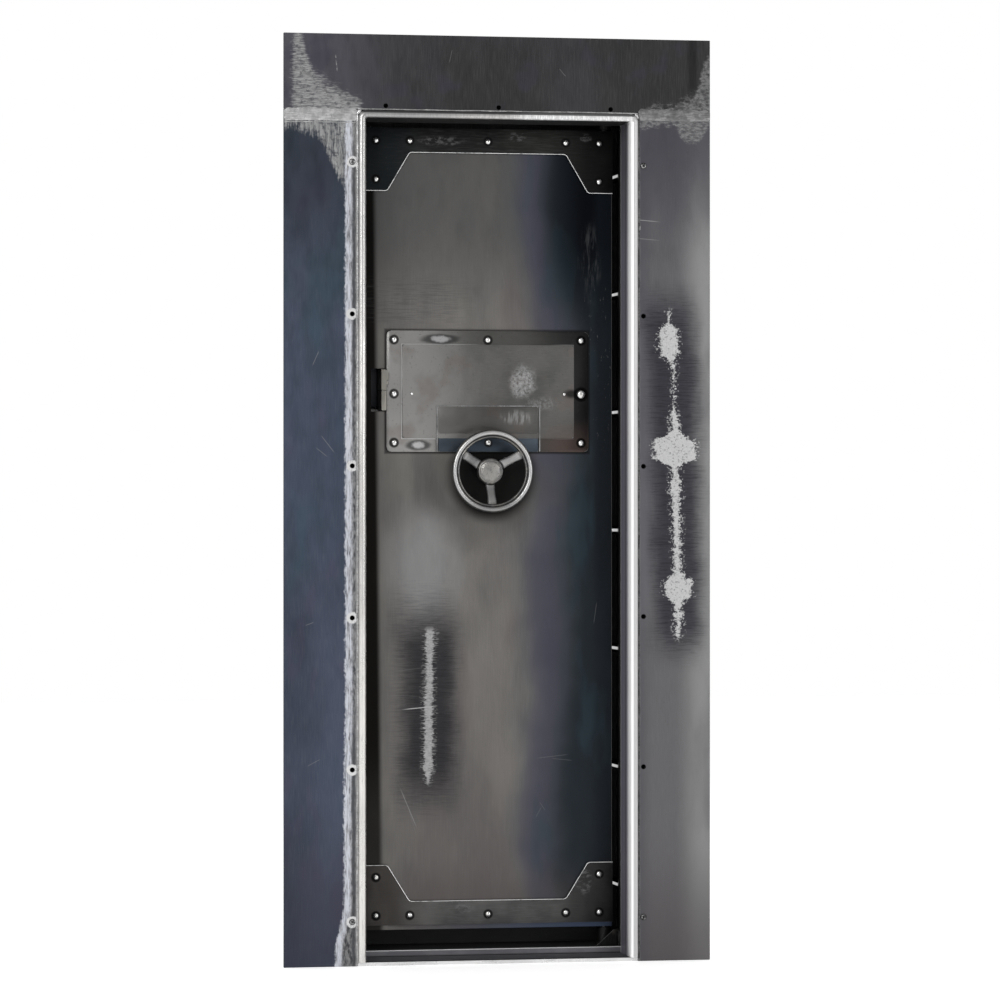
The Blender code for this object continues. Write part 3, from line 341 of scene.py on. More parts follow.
def left_plate_look():
    s = rolled("left_plate_look", rgb(48, 54, 66), rgb(68, 74, 90), 0.40)
    tint = s.noise((9, 9, 3.2))
    s.layer(tint.step(0.52, 0.68) * 0.5, rgb(50, 70, 80))
    s.layer(tint.step(0.45, 0.33) * 0.4, rgb(70, 62, 80))
    s.layer(s.z.step(1.55, 2.0) * 0.75, rgb(38, 44, 50))
    s.layer(s.z.near(1.25, 0.45, 0.1) * 0.35, rgb(76, 86, 104))
    s.layer(s.z.step(0.42, 0.10) * 0.5, rgb(50, 50, 58))
    hairlines(s, ((-0.455, 1.49, 0.022, 24, 0.4), (-0.425, 1.28, 0.03, -38, 0.35),
                  (-0.44, 1.26, 0.02, -52, 0.3), (-0.47, 0.84, 0.012, 70, 0.35),
                  (-0.46, 0.50, 0.02, 62, 0.25)))
    depth = 0.020 + s.x.step(-0.46, -0.375) * 0.125 + s.x.step(-0.520, -0.46) * 0.022
    drips = s.sway(0.045, (70, 70, 9), 4.0, 0.7)
    corner = (s.z - (2.080 - depth + drips)).step(-0.022, 0.020)
    worn_patch(s, corner, 138, (260, 260, 34), 0.9)
    flare = s.z.step(0.16, 0.03) * 0.022 + s.z.step(0.62, 0.45) * 0.003
    ragged = s.sway(0.020, (120, 120, 70), 4.0, 0.75)
    from_left = s.x + 0.3825 + flare + ragged
    mottle = s.noise((150, 150, 48), 4.0, 0.72)
    base = s.mix(mottle.step(0.38, 0.62), grey(64), grey(134))
    s.layer(from_left.step(-0.002, 0.008) * 0.85, base, 0.42)
    core = from_left.step(-0.003, 0.004) * (s.x + 0.3665 + flare + ragged * 0.5).step(0.006, -0.003)
    rub = s.noise((220, 220, 26), 4.0, 0.7)
    s.layer(core * rub.step(0.30, 0.58), rgb(190, 192, 200), 0.4)
    grime = (s.z.band(1.30, 1.46, 2.06, 1.97)).either(s.z.step(0.66, 0.52))
    vein = abs(s.x + 0.3610 + s.sway(0.010, (20, 20, 14))).step(0.0065, 0.001)
    s.layer(vein * grime * mottle.step(0.42, 0.54) * 0.8, rgb(50, 52, 58))
    s.layer(s.x.step(-0.3570, -0.3545) * rub.step(0.25, 0.5) * 0.8, grey(160), 0.34)
    hole_rings(s, -1, 0.0155)
    plain_back(s, rgb(40, 42, 48), rgb(58, 60, 68))
    return s.finished()


def right_plate_look():
    s = rolled("right_plate_look", rgb(76, 75, 79), rgb(92, 91, 93), 0.42)
    s.layer(s.x.step(0.44, 0.52) * s.noise((8, 8, 2.5)).step(0.25, 0.60), grey(126))
    s.layer(s.z.step(1.70, 2.04) * 0.85, rgb(66, 65, 71))
    s.layer(s.z.step(0.36, 0.02) * 0.7, rgb(76, 73, 74))
    s.layer(s.x.step(0.392, 0.352) * 0.5, rgb(70, 69, 75))
    half = s.z.step(1.40, 1.34) * 0.0025 + 0.0055
    gaps = s.z.band(1.345, 1.375, 1.475, 1.462)
    centre = 0.4415 + s.z.step(1.45, 0.80) * 0.0115 - s.z.step(1.46, 1.52) * 0.0130
    for height, reach, extra in (
        (1.536, 0.052, 0.0175), (1.268, 0.044, 0.0440), (1.175, 0.026, 0.0050), (0.923, 0.038, 0.0260),
    ):
        sway = s.sway(0.03, (30, 30, 60), 2.0)
        half = half + (abs(s.z - height) + sway).step(reach, reach * 0.45) * extra
    half = half - s.z.step(1.572, 1.585) * 0.0045
    s.layer(s.z.band(0.75, 0.95, 1.75, 1.5) * s.x.step(0.40, 0.37) * 0.4, rgb(98, 97, 102))
    halo_streak(s, centre, half, grey(186), (0.795, 1.615), (0.090, 0.05), rgb(50, 49, 55), 0.0085,
                (95, 105), gaps)
    for height, strength in ((1.838, 0.9), (1.792, 0.4)):
        line = abs(s.z - height + (s.x - 0.35) * 0.08).step(0.0015, 0.0005)
        s.layer(line * s.x.step(0.412, 0.38) * strength, grey(140), 0.3)
    chip = (s.disc(0.352, 1.818, 0.004, 0.011) + (s.noise(300) - 0.5)).step(1.1, 0.8)
    s.layer(chip, grey(205), 0.35)
    depth = 0.006 + s.disc(0.487, 2.075, 0.050, 0.2).step(1.0, 0.3) * 0.046 + s.x.step(0.46, 0.36) * 0.012
    below = (s.z - (2.082 - depth)).step(-0.014, 0.012)
    worn_patch(s, below, 116, (90, 90, 200), 0.75)
    ragged = s.noise((120, 120, 40), 4.0, 0.7)
    s.layer(s.x.step(0.3590, 0.3515) * ragged.step(0.35, 0.6) * 0.8, grey(120), 0.36)
    hole_rings(s, 1, 0.0)
    plain_back(s, rgb(46, 46, 50), rgb(64, 64, 68))
    return s.finished()


def head_plate_look():
    s = rolled("head_plate_look", grey(46), rgb(56, 55, 58), 0.42)
    s.layer(s.x.step(-0.15, -0.50) * 0.85, rgb(76, 75, 82))
    tint = s.noise(7)
    s.layer(tint.step(0.55, 0.66) * 0.5, rgb(57, 55, 66))
    high = 0.020 + s.x.step(-0.345, -0.47) * 0.070 + s.x.step(-0.455, -0.50) * 0.095
    sway = s.sway(0.06, 14, 3.0, 0.6)
    left = (high + sway - (s.z - 2.104)).step(-0.030, 0.030) * s.x.step(-0.528, -0.500)
    worn_patch(s, left * s.x.step(-0.330, -0.356), 138, (45, 45, 330), 0.9)
    high = 0.010 + s.x.step(0.42, 0.50) * 0.040 + s.x.step(0.492, 0.530) * 0.100
    right = (high + sway - (s.z - 2.104)).step(-0.022, 0.024) * s.x.step(0.352, 0.380)
    worn_patch(s, right, 112, (90, 90, 170), 0.72)
    dim = s.x.band(0.47, 0.485, 0.505, 0.495) * s.z.step(2.145, 2.175)
    s.layer(dim * 0.6, grey(26))
    hairlines(s, ((-0.12, 2.235, 0.018, 12, 0.25), (0.16, 2.20, 0.014, -40, 0.25)))
    line = abs(s.x + 0.4025 + (s.z - 2.2) * 0.1).step(0.0016, 0.0005) * s.z.near(2.214, 0.022, 0.014)
    s.layer(line * s.noise(200).step(0.42, 0.5), grey(140), 0.3)
    # Painted shade at the rim of each fixing hole.
    for x, z in HEAD_HOLES:
        s.layer(s.disc(x, z, HOLE_RADIUS).step(1.15, 0.95), grey(12), 0.6)
    plain_back(s, grey(38), grey(54))
    return s.finished()


def liner_look():
    """Ground bright on the nose, with a painted highlight down the right nose and the front of the reveal;
    violet grey inside the reveal; painted shade under the head and over the left reveal.
    """
    s = rolled("liner_look", rgb(190, 188, 186), rgb(214, 212, 208), 0.30, 0.8, (6, 6, 2.5), (300, 300, 14))
    s.layer(s.z.step(1.4, 2.05) * s.x.step(0.0, -0.2) * 0.75, grey(148))
    grain = s.noise((240, 240, 30), 3.0, 0.65)
    s.layer(s.x.step(0.1, -0.1) * grain.step(0.55, 0.72) * 0.4, grey(120), 0.4)
    # Painted highlight down the front of the right nose, fading to grey on its outer side.
    right = s.x.step(0.0, 0.1) * s.y.step(-0.006, -0.011)
    s.layer(right * 0.95, grey(246), 0.35, 0.15)
    s.layer(right * s.x.step(0.3355, 0.3390) * 0.85, grey(158), 0.4)
    s.layer(right * s.x.step(0.3440, 0.3460) * (0.3 + grain.step(0.3, 0.6) * 0.4), grey(196), 0.4)
    s.layer(s.x.step(0.3475, 0.3500) * 0.7, grey(84), 0.5)
    # Inside the reveal: a painted highlight along its front edge and violet grey behind it; painted shade
    # towards the head and over the whole left reveal.
    depth = s.y.step(-0.014, -0.008) * abs(s.x).step(0.3360, 0.3330)
    s.layer(depth, grey(250), 0.35, 0.1)
    s.layer(depth * s.y.step(-0.006, 0.034), rgb(112, 109, 119), 0.45)
    s.layer(depth * s.y.near(0.046, 0.014, 0.005) * 0.6, grey(58))
    s.layer(depth * s.y.band(0.060, 0.075, 0.098, 0.088) * 0.5, rgb(84, 82, 94))
    s.layer(depth * s.z.step(1.75, 2.0) * s.y.step(0.0, 0.03) * 0.5, grey(60))
    s.layer(depth * s.y.near(0.1030, 0.0045, 0.0020), grey(150), 0.35)
    s.layer(depth * s.x.step(0.0, -0.1) * 0.7, grey(40), 0.5)
    # Painted shade: near black on the underside of the head liner.
    under = s.z.step(2.0790, 2.0800) * abs(s.x).step(0.331, 0.326)
    s.layer(under * s.y.step(-0.018, -0.013), grey(8), 0.6)
    strip = abs(s.x).step(0.345, 0.335) * s.z.step(2.078, 2.082) * s.y.step(-0.012, -0.016)
    s.layer(strip * (0.25 + grain.step(0.30, 0.62) * 0.4), grey(130), 0.36)
    s.layer(strip * s.z.step(2.0915, 2.0940) * 0.94, grey(58), 0.5)
    return s.finished()


def plain_steel(name, dark, light, rough=0.45, metallic=0.75, grain=(300, 300, 30)):
    s = rolled(name, dark, light, rough, metallic, (7, 7, 5), grain)
    scratches(s, 26, s.noise(9).step(0.55, 0.66) * 0.45, 0.003)
    stain = s.noise((18, 18, 12), 4.0, 0.65)
    s.layer(stain.step(0.58, 0.70) * 0.35, rgb(78, 70, 64))
    return s.finished()


def casing_look():
    """Dull channel steel, with painted shade: black where the fixing holes show the flange behind the face
    plates.
    """
    s = rolled("casing_look", rgb(52, 53, 57), rgb(72, 72, 76), 0.5, 0.6, (7, 7, 5), (40, 40, 300))
    s.layer(s.noise((18, 18, 12), 4.0, 0.65).step(0.58, 0.70) * 0.35, rgb(78, 70, 64))
    hairlines(s, ((-0.39, 1.2, 0.08, 4, 0.4), (0.39, 0.8, 0.06, -6, 0.4)))
    # Painted shade: the flange face behind the face plates is black.
    s.layer(s.y.step(0.0035, 0.0020), grey(4), 0.8, 1.0)
    return s.finished()


def bright_edge(name, tone, rough):
    s = rolled(name, grey(tone - 22), grey(tone + 10), rough, 0.9, 30, 200)
    s.layer(s.noise(60).step(0.60, 0.72) * 0.5, grey(tone * 0.62), rough + 0.15)
    return s


def bright_edge_look(name="ground_edge", tone=178, rough=0.28):
    return bright_edge(name, tone, rough).finished()


def drive_screw_look(name, base, shine):
    """A worn screw: painted shade round the foot of the head, and a painted highlight on its crown, broken up
    by wear.
    """
    s = bright_edge(name, base, 0.4)
    worn = s.noise(420, 3.0, 0.7)
    # Painted highlight on the crown, broken up by wear.
    s.layer(s.y.step(FACE_Y - 0.0022, FACE_Y - 0.0027) * worn.step(0.46, 0.60), grey(shine), 0.3)
    # Painted shade round the foot of the head.
    s.layer(s.y.step(FACE_Y - 0.0008, FACE_Y + 0.0004) * 0.9, grey(10), 0.6)
    return s.finished()


def leaf_look():
    s = rolled("leaf_look", rgb(82, 80, 79), rgb(102, 99, 96), 0.44, 0.7, (4.5, 4.5, 1.6), (420, 60, 16))
    warm = s.noise((6, 6, 2.2))
    s.layer(warm.step(0.50, 0.66) * 0.45, rgb(114, 112, 106))
    s.layer(warm.step(0.46, 0.34) * 0.35, rgb(84, 76, 76))
    s.layer(s.z.step(1.52, 1.85) * 0.75, grey(66))
    s.layer((s.blob(-0.16, 0.98, 0.115, 0.20, (12, 12, 5), 0.5)).step(1.1, 0.3) * 0.6, grey(134))
    low = s.z.near(0.25, 0.45, 0.0) * abs(s.x).step(0.30, 0.1)
    s.layer(low * 0.3, rgb(90, 85, 83))
    wave = s.sway(0.16, (2.2, 2.2, 2.6), 3.0, 0.6)
    lean = s.z.step(0.55, 1.30) * 0.045 - s.z.step(1.45, 1.85) * 0.075
    side = s.x + wave - lean
    s.layer(side.step(0.040, 0.150) * 0.72, rgb(54, 62, 70))
    s.layer(side.step(0.105, 0.225) * 0.92, rgb(26, 33, 40), None, 0.85)
    s.layer(side.step(0.080, 0.120) * side.step(0.200, 0.140) * 0.45, rgb(60, 55, 72))
    s.layer(s.noise((11, 11, 3)).step(0.52, 0.66) * side.step(0.09, 0.16) * 0.5, rgb(40, 57, 64))
    s.layer(s.z.step(1.50, 1.82) * s.x.step(0.09, 0.25) * 0.88, rgb(9, 10, 14), 0.5, 1.0)
    s.layer(s.x.step(0.262, 0.288) * s.noise((5, 5, 2)).step(0.35, 0.6) * 0.8, rgb(21, 25, 30))
    # Painted shadow of the left jamb down the leaf's left edge.
    shade = (s.x + (s.z - 1.0) * 0.010).step(-0.268, -0.284)
    s.layer(shade * (0.96 - s.z.step(0.55, 0.25) * 0.14), rgb(12, 11, 10), 0.55, 1.0)
    cloud = s.blob(-0.02, 1.16, 0.20, 0.15, 9, 0.8)
    s.layer(cloud.step(1.1, 0.5) * 0.45, rgb(70, 68, 66))
    # Painted shade: a dark band round the cover's edge, and the handwheel's shadow as a dark disc.
    s.layer(s.outside(*COVER).step(0.0075, 0.0015) * 0.75, grey(16), 0.55)
    s.layer(s.disc(0.012, 1.203, 0.116).step(1.10, 0.76) * 0.94, grey(12), 0.5, 1.0)
    brush = s.noise((24, 24, 500), 2.0, 0.6)
    zone = abs(s.x + 0.165).step(0.105, 0.05) * s.z.band(0.30, 0.42, 0.98, 0.86)
    s.layer(zone * brush.step(0.42, 0.62) * 0.35, rgb(58, 57, 62))
    top_zone = s.z.near(1.64, 0.08, 0.03) * s.x.step(0.02, -0.15)
    s.layer(top_zone * brush.step(0.45, 0.62) * 0.35, grey(58))
    s.layer(s.z.step(0.26, 0.15) * abs(s.x).step(0.26, 0.20) * 0.35, rgb(70, 64, 62))
    half = s.z.step(0.80, 0.60) * 0.0020 + 0.0085 + s.z.step(0.74, 0.78) * 0.002
    halo_streak(s, s.z * 0.012 - 0.156, half, grey(154), (0.432, 0.822), (0.105, 0.07), rgb(30, 29, 33),
                0.0060, (34, 330))
    cut = abs(s.z - 0.6265 - (s.x + 0.149) * 0.09).step(0.0016, 0.0006) * abs(s.x + 0.172).step(0.050, 0.02)
    s.layer(cut, grey(160), 0.3)
    slash = abs(s.x + 0.198 + (s.z - 0.37) * 0.42).step(0.0018, 0.0006) * s.z.near(0.375, 0.055, 0.03)
    s.layer(slash * 0.4, grey(140), 0.35)
    smear = s.noise((90, 90, 14), 4.0, 0.7)
    smear_zone = s.blob(0.262, 1.745, 0.030, 0.115, 16, 0.9)
    s.layer(smear_zone.step(1.1, 0.45) * smear.step(0.44, 0.66) * 0.7, rgb(66, 68, 70), 0.4)
    flecks = s.noise((170, 170, 60), 3.0, 0.7).step(0.64, 0.72) * s.x.step(0.235, 0.262) * s.z.step(1.2, 1.5)
    s.layer(flecks * s.z.step(1.72, 1.6) * 0.6, grey(105), 0.35)
    hairlines(s, ((0.165, 0.50, 0.045, 84, 0.22), (0.19, 0.492, 0.03, 96, 0.2), (0.13, 0.36, 0.016, 30, 0.2),
                  (0.14, 0.375, 0.014, -34, 0.2), (0.275, 0.86, 0.03, 8, 0.3), (-0.20, 0.72, 0.05, 84, 0.18),
                  (-0.21, 0.655, 0.04, 93, 0.16), (-0.075, 1.62, 0.03, 66, 0.12),
                  (0.04, 1.70, 0.02, -12, 0.12), (-0.19, 0.34, 0.035, -16, 0.2)), 118)
    s.layer(s.x.step(0.3158, 0.3172), grey(104), 0.32)
    s.layer(s.z.step(0.0840, 0.0826) * s.x.step(-0.30, 0.22) * 0.9, rgb(50, 60, 78), 0.3)
    return s.finished()


def rivet_shade_rings(s, places, radius):
    """Painted shade: dark rings round the heads at these (x, z) places, for their contact shadow and dark
    reflection.
    """
    for x, z in places:
        s.layer(s.disc(x, z, radius).step(1.1, 0.8) * 0.9, grey(10), 0.55)


def reinforcing_look(name, dark, light, left_tint, right_tone, rivets):
    s = rolled(name, dark, light, 0.40, 0.88, 7, (30, 60, 420))
    s.layer(s.x.step(-0.14, -0.25) * 0.8, left_tint)
    s.layer(s.x.step(0.12, 0.26) * 0.8, right_tone)
    smudge_cells = s.noise((60, 60, 120), 4.0, 0.75)
    for x, z, rx, rz in ((-0.12, 2.040, 0.070, 0.013), (0.07, 2.052, 0.03, 0.014), (0.25, 2.052, 0.02, 0.012),
                         (-0.06, 0.124, 0.030, 0.016), (0.245, 0.190, 0.022, 0.040)):
        zone = s.blob(x, z, rx, rz, 40, 0.9)
        s.layer(zone.step(1.05, 0.5) * smudge_cells.step(0.44, 0.62) * 0.6, grey(104), 0.34)
    rivet_shade_rings(s, rivets, 0.0125)
    s.layer(s.noise(300, 2.0, 0.7).step(0.68, 0.76) * 0.4, grey(110), 0.35)
    return s.finished()


def outline_look():
    """A painted highlight on the inner outline of the reinforcing plates, dull round the rest."""
    s = bright_edge("outline_look", 84, 0.36)
    # Painted highlight along the inner outline, broken in places.
    inner = s.z.band(0.1395, 0.1425, 2.0135, 2.0105)
    nicks = s.noise(60, 3.0, 0.6).step(0.30, 0.50)
    s.layer(inner * (0.30 + nicks * 0.70), grey(212), 0.34, 0.3)
    return s.finished()


def cover_look(name, insert=False):
    s = rolled(name, rgb(70, 70, 68), rgb(84, 83, 81), 0.38, 0.75, (9, 9, 7), (40, 60, 420))
    s.layer(s.x.step(0.02, -0.20) * 0.9, rgb(132, 131, 129), 0.34)
    s.layer(s.noise(9).step(0.52, 0.66) * 0.4, rgb(94, 84, 80))
    # Painted shadow of the handwheel on the cover and the insert.
    s.layer(s.disc(WHEEL.x + 0.006, WHEEL.z, 0.094).step(1.0, 0.86) * 0.72, grey(14))
    if insert:
        s.layer(0.35, rgb(52, 51, 49))
        s.layer(s.x.step(0.2, -0.2) * 0.4 + s.z.step(1.375, 1.270) * 0.25, rgb(58, 56, 54))
        s.layer(s.z.step(1.3105, 1.3075) * 0.85, rgb(40, 50, 60), 0.34)
        zone = s.blob(0.073, 1.349, 0.045, 0.022, 24, 0.8)
        marks = s.noise((110, 110, 22), 3.0, 0.6)
        s.layer(zone.step(1.1, 0.5) * marks.step(0.46, 0.60) * 0.7, grey(112), 0.32)
        rivet_shade_rings(s, ((0, COVER_ROWS[0]),), 0.0115)
        return s.finished()
    away = s.outside(*PANEL)
    on_frame = away.step(-0.0002, 0.0006)
    # Painted light on the frame round the panel: a dark reflection over its right part, and a highlight along
    # the panel's edge, stronger on the left.
    s.layer(on_frame * s.x.step(-0.16, 0.02) * 0.55, rgb(72, 71, 68), 0.38)
    s.layer(on_frame * s.x.step(0.02, 0.22) * 0.9, rgb(28, 28, 29), 0.38, 1.0)
    line = away.near(0.0012, 0.0012, 0.0004)
    s.layer(line * s.x.step(0.0, -0.1) * 0.8, grey(168), 0.3)
    s.layer(line * s.x.step(0.15, 0.2) * 0.5, grey(120), 0.3)
    s.layer(s.x.step(0.10, 0.20) * s.z.step(1.36, 1.28) * 0.55, rgb(90, 77, 72))
    spots = s.noise(130, 5.0, 0.72)
    zone = s.blob(0.086, 1.441, 0.037, 0.046, 30, 0.9)
    s.layer(zone.step(1.1, 0.4) * spots.step(0.30, 0.66), grey(142), 0.40)
    tail = s.blob(0.135, 1.385, 0.045, 0.020, 36, 0.9)
    s.layer(tail.step(1.1, 0.5) * spots.step(0.4, 0.62) * 0.6, grey(118), 0.40)
    for x, z, rx, rz in ((-0.1215, 1.5452, 0.034, 0.0125), (-0.177, 1.2805, 0.022, 0.0135)):
        zone = s.blob(x, z, rx * 1.6, rz * 1.1, (20, 20, 60), 0.5)
        s.layer(zone.step(1.1, 0.6) * 0.85, grey(48))
        heart = s.blob(x, z, rx * 0.8, rz * 0.75, 90, 0.9)
        s.layer(heart.step(1.15, 0.5), grey(155), 0.36)
    screws = [(x, z) for x in (-COVER_SCREW_X, COVER_SCREW_X) for z in COVER_ROWS]
    # Painted shade round the screw heads; the large one also gets a painted shadow cast to its left.
    rivet_shade_rings(s, screws + [(0, COVER_ROWS[2])], 0.0130)
    rivet_shade_rings(s, ((COVER_SCREW_X, COVER_ROWS[1]),), 0.0190)
    s.layer(s.disc(0.212, 1.4095, 0.030, 0.016).step(1.0, 0.3) * 0.9, grey(14))
    s.layer(s.noise(200).step(0.62, 0.72) * 0.4, grey(54))
    return s.finished()


def cast_look(tone):
    """Rough aluminium-grey casting, with a painted highlight along the front of the rim, where a hand also
    rubs it, and painted shade behind the rim, in its groove and round the hub.
    """
    s = Surface(f"cast_look_{tone}", grey(tone), 0.35, 0.9)
    s.layer(s.noise(40, 4.0).step(0.40, 0.62), rgb(tone + 22, tone + 20, tone + 16))
    grains = s.noise(900, 3.0, 0.7)
    s.layer(grains.step(0.54, 0.70) * 0.6, grey(tone // 2), 0.55)
    pits = s.noise(260, 3.0, 0.6)
    s.layer(pits.step(0.58, 0.68) * 0.6, rgb(tone - 36, tone - 39, tone - 42), 0.6)
    # Painted highlight along the front crown of the rim, where hands also rub it bright.
    s.layer(s.y.near(0.0715, 0.003, 0.0) * 0.6, grey(196), 0.28)
    # Painted shade on the back of the rim and in its groove.
    rim = s.wheel_disc(0.082).step(0.98, 1.02)
    s.layer(rim * s.y.step(0.0755, 0.0830) * 0.85, grey(tone // 4))
    s.layer(rim * abs(s.wheel_disc(0.0885) - 1).step(0.018, 0.008) * 0.85, grey(20))
    away = s.wheel_disc(0.060)
    s.layer(away.step(0.55, 0.60) * away.step(1.35, 1.25) * 0.7, grey(tone + 56), 0.34)
    s.layer(rim * s.z.step(WHEEL.z - 0.050, WHEEL.z - 0.095) * 0.45, grey(tone * 0.6))
    # Painted shade round the foot of the hub.
    hub = abs(s.wheel_disc(0.0338) - 1).step(0.075, 0.030)
    s.layer(hub * 0.8, grey(26), 0.55)
    s.raise_by(grains * 0.00018 + pits * 0.00035)
    return s.finished()


def rivet_look():
    s = Surface("rivet_look", grey(214), 0.20, 0.95)
    s.layer(s.noise(180).step(0.45, 0.65) * 0.5, rgb(184, 180, 170), 0.3)
    s.layer(s.noise(700, 2.0).step(0.62, 0.72) * 0.6, grey(90), 0.4)
    s.raise_by(s.noise(500, 2.0) * 0.0001)
    return s.finished()


def weld_look(name="weld_look", tone=150):
    s = Surface(name, grey(tone), 0.38, 0.85)
    s.layer(s.noise(60, 4.0).step(0.38, 0.62), grey(tone + 34), 0.32)
    s.layer(s.noise((40, 40, 400), 3.0, 0.6).step(0.48, 0.62) * 0.6, grey(tone - 26), 0.42)
    s.layer(s.noise((200, 200, 60), 4.0, 0.7).step(0.60, 0.70) * 0.7, rgb(92, 90, 94), 0.5)
    s.raise_by(s.noise(150) * 0.0004)
    return s.finished()


def sill_look():
    """A bright worn front edge below a grey top."""
    s = rolled("sill_look", grey(198), grey(216), 0.30, 0.6, 7, (30, 300, 300))
    s.layer(s.z.step(0.0086, 0.0093), rgb(88, 88, 93), 0.42)
    s.layer(s.z.step(0.0086, 0.0093) * s.y.step(0.010, -0.004) * 0.9, grey(16), 0.5)
    s.layer(s.noise((30, 30, 400)).step(0.56, 0.70) * s.y.step(-0.008, -0.0095) * 0.4, grey(150))
    return s.finished()


def threshold_look():
    """Mid grey with a bright line where feet have rubbed the front edge."""
    s = rolled("threshold_look", rgb(98, 97, 102), rgb(118, 117, 122), 0.42, 0.6, 7, (20, 300, 300))
    front = s.y.step(0.1105, 0.1085)
    s.layer(front * s.z.step(0.0232, 0.0242), grey(235), 0.28)
    s.layer(front * s.z.step(0.0140, 0.0110) * 0.6, grey(40), 0.5)
    # Painted shade on the threshold under and just in front of the leaf.
    s.layer(s.y.step(0.112, 0.13) * 0.92, grey(22), 0.6)
    return s.finished()


def pin_steel_look():
    """Pin steel painted near black as the shade in the gap, with a painted highlight on each pin that also
    glows, standing in for lamp light reaching through the gap.
    """
    s = rolled("pin_look", grey(20), grey(34), 0.38, 1.0, 60, (40, 300, 300))
    # A painted highlight on each pin, tilted with height as a reflection would be.
    up = s.z.repeat(PIN_BOTTOM, PIN_PITCH)
    along = s.x - PIN_START
    middle = (along - 0.007) * (s.z - 1.1) * 0.42
    half = 0.0005 + along.step(0.0, 0.0125) * 0.0031
    glint = (half - abs(up - middle)).step(-0.0006, 0.0010) * along.step(0.0, 0.002)
    s.layer(glint, grey(245), 0.15)
    # The highlight also glows: painted light, not a lamp.
    s.shader.inputs["Emission Color"].default_value = (1, 1, 1, 1)
    s.feed(glint * 0.5, s.shader.inputs["Emission Strength"])
    return s.finished()


def bronze_look():
    s = rolled("bronze_look", rgb(120, 92, 52), rgb(156, 124, 74), 0.34, 0.95, 60, 300)
    s.layer(s.noise(90, 4.0).step(0.56, 0.68) * 0.5, rgb(84, 66, 44), 0.5)
    return s.finished()


def floor_look():
    s = Surface("floor_look", grey(250), 0.65, 0.0)
    s.layer(s.noise(1.5, 4.0).step(0.3, 0.7) * 0.25, grey(244))
    s.shader.inputs["Emission Color"].default_value = (1, 1, 1, 1)
    s.shader.inputs["Emission Strength"].default_value = 0.42
    return s.finished()


# ---------- meshes ----------
def piece(name, bm, materials, body, slot, replaces=()):
    """Turns a bmesh into a piece that rides on a body and hides the parts it replaces; slot is not used."""
    bmesh.ops.recalc_face_normals(bm, faces=bm.faces)
    mesh = bpy.data.meshes.new(name)
    bm.to_mesh(mesh)
    bm.free()
    for face in mesh.polygons:
        face.use_smooth = True
    mesh.set_sharp_from_angle(angle=math.radians(38))
    for material in materials:
        mesh.materials.append(material)
    made = bpy.data.objects.new(name, mesh)
    bpy.context.scene.collection.objects.link(made)
    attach(made, body)
    if replaces:
        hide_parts(*replaces)
    return made


def ring_faces(bm, rings, caps=True):
    """Joins equal rings of vertices into a tube."""
    count = len(rings[0])
    for lower, upper in zip(rings, rings[1:]):
        for i in range(count):
            j = (i + 1) % count
            bm.faces.new((lower[i], lower[j], upper[j], upper[i]))
    if caps:
        bm.faces.new(list(reversed(rings[0])))
        bm.faces.new(rings[-1])


TO_X, TO_Y = Matrix.Rotation(math.radians(90), 3, "Y"), Matrix.Rotation(math.radians(-90), 3, "X")


def lathe(bm, profile, centre, sides, material=0, turn=TO_Y):
    """Spins (radius, along) points round an axis through centre; the ends close at radius 0."""
    rings = []
    for radius, along in profile:
        if radius == 0:
            rings.append([bm.verts.new(Vector(centre) + turn @ Vector((0, 0, along)))])
            continue
        angles = [math.tau * i / sides for i in range(sides)]
        points = [Vector((radius * math.cos(a), radius * math.sin(a), along)) for a in angles]
        rings.append([bm.verts.new(Vector(centre) + turn @ p) for p in points])
    for low, high in zip(rings, rings[1:]):
        for i in range(sides):
            j = (i + 1) % sides
            if len(low) == 1:
                made = bm.faces.new((low[0], high[j], high[i]))
            elif len(high) == 1:
                made = bm.faces.new((low[i], low[j], high[0]))
            else:
                made = bm.faces.new((low[i], low[j], high[j], high[i]))
            made.material_index = material


def dome(radius, high, sink=0.002, steps=8):
    """Profile of a rivet head standing towards -y (along is measured along -y by the caller)."""
    curve = [(radius * math.cos(math.radians(90 * i / steps)), -high * math.sin(math.radians(90 * i / steps)))
             for i in range(steps)]
    return [(0, sink), (radius, sink)] + curve + [(0, -high)]


def slab(bm, outline, front, back, bevel, segments=2):
    """A plate in the xz plane from y=front to y=back, with its front edge rounded over in material 1."""
    near = [bm.verts.new((x, front, z)) for x, z in outline]
    far = [bm.verts.new((x, back, z)) for x, z in outline]
    face = bm.faces.new(near)
    bm.faces.new(list(reversed(far)))
    count = len(outline)
    for i in range(count):
        j = (i + 1) % count
        bm.faces.new((near[j], near[i], far[i], far[j]))
    made = bmesh.ops.bevel(bm, geom=list(face.edges), offset=bevel, segments=segments, profile=0.5,
                           affect="EDGES")
    for new_face in made["faces"]:
        new_face.normal_update()
        new_face.material_index = 0 if abs(new_face.normal.y) > 0.999 else 1


def plates(name, rows, looks, *where):
    """A piece of one or more slabs, each row with the arguments of slab."""
    bm = bmesh.new()
    for row in rows:
        slab(bm, *row)
    piece(name, bm, looks, *where)


def corner_arc(before, corner, after, radius):
    """Points that round one corner of an outline."""
    steps = 6
    corner = Vector(corner)
    to_before = (Vector(before) - corner).normalized()
    to_after = (Vector(after) - corner).normalized()
    half = to_before.angle(to_after) / 2
    reach = radius / math.tan(half)
    centre = corner + (to_before + to_after).normalized() * radius / math.sin(half)
    start, end = corner + to_before * reach - centre, corner + to_after * reach - centre
    return [tuple(centre + start.slerp(end, i / steps).normalized() * radius) for i in range(steps + 1)]


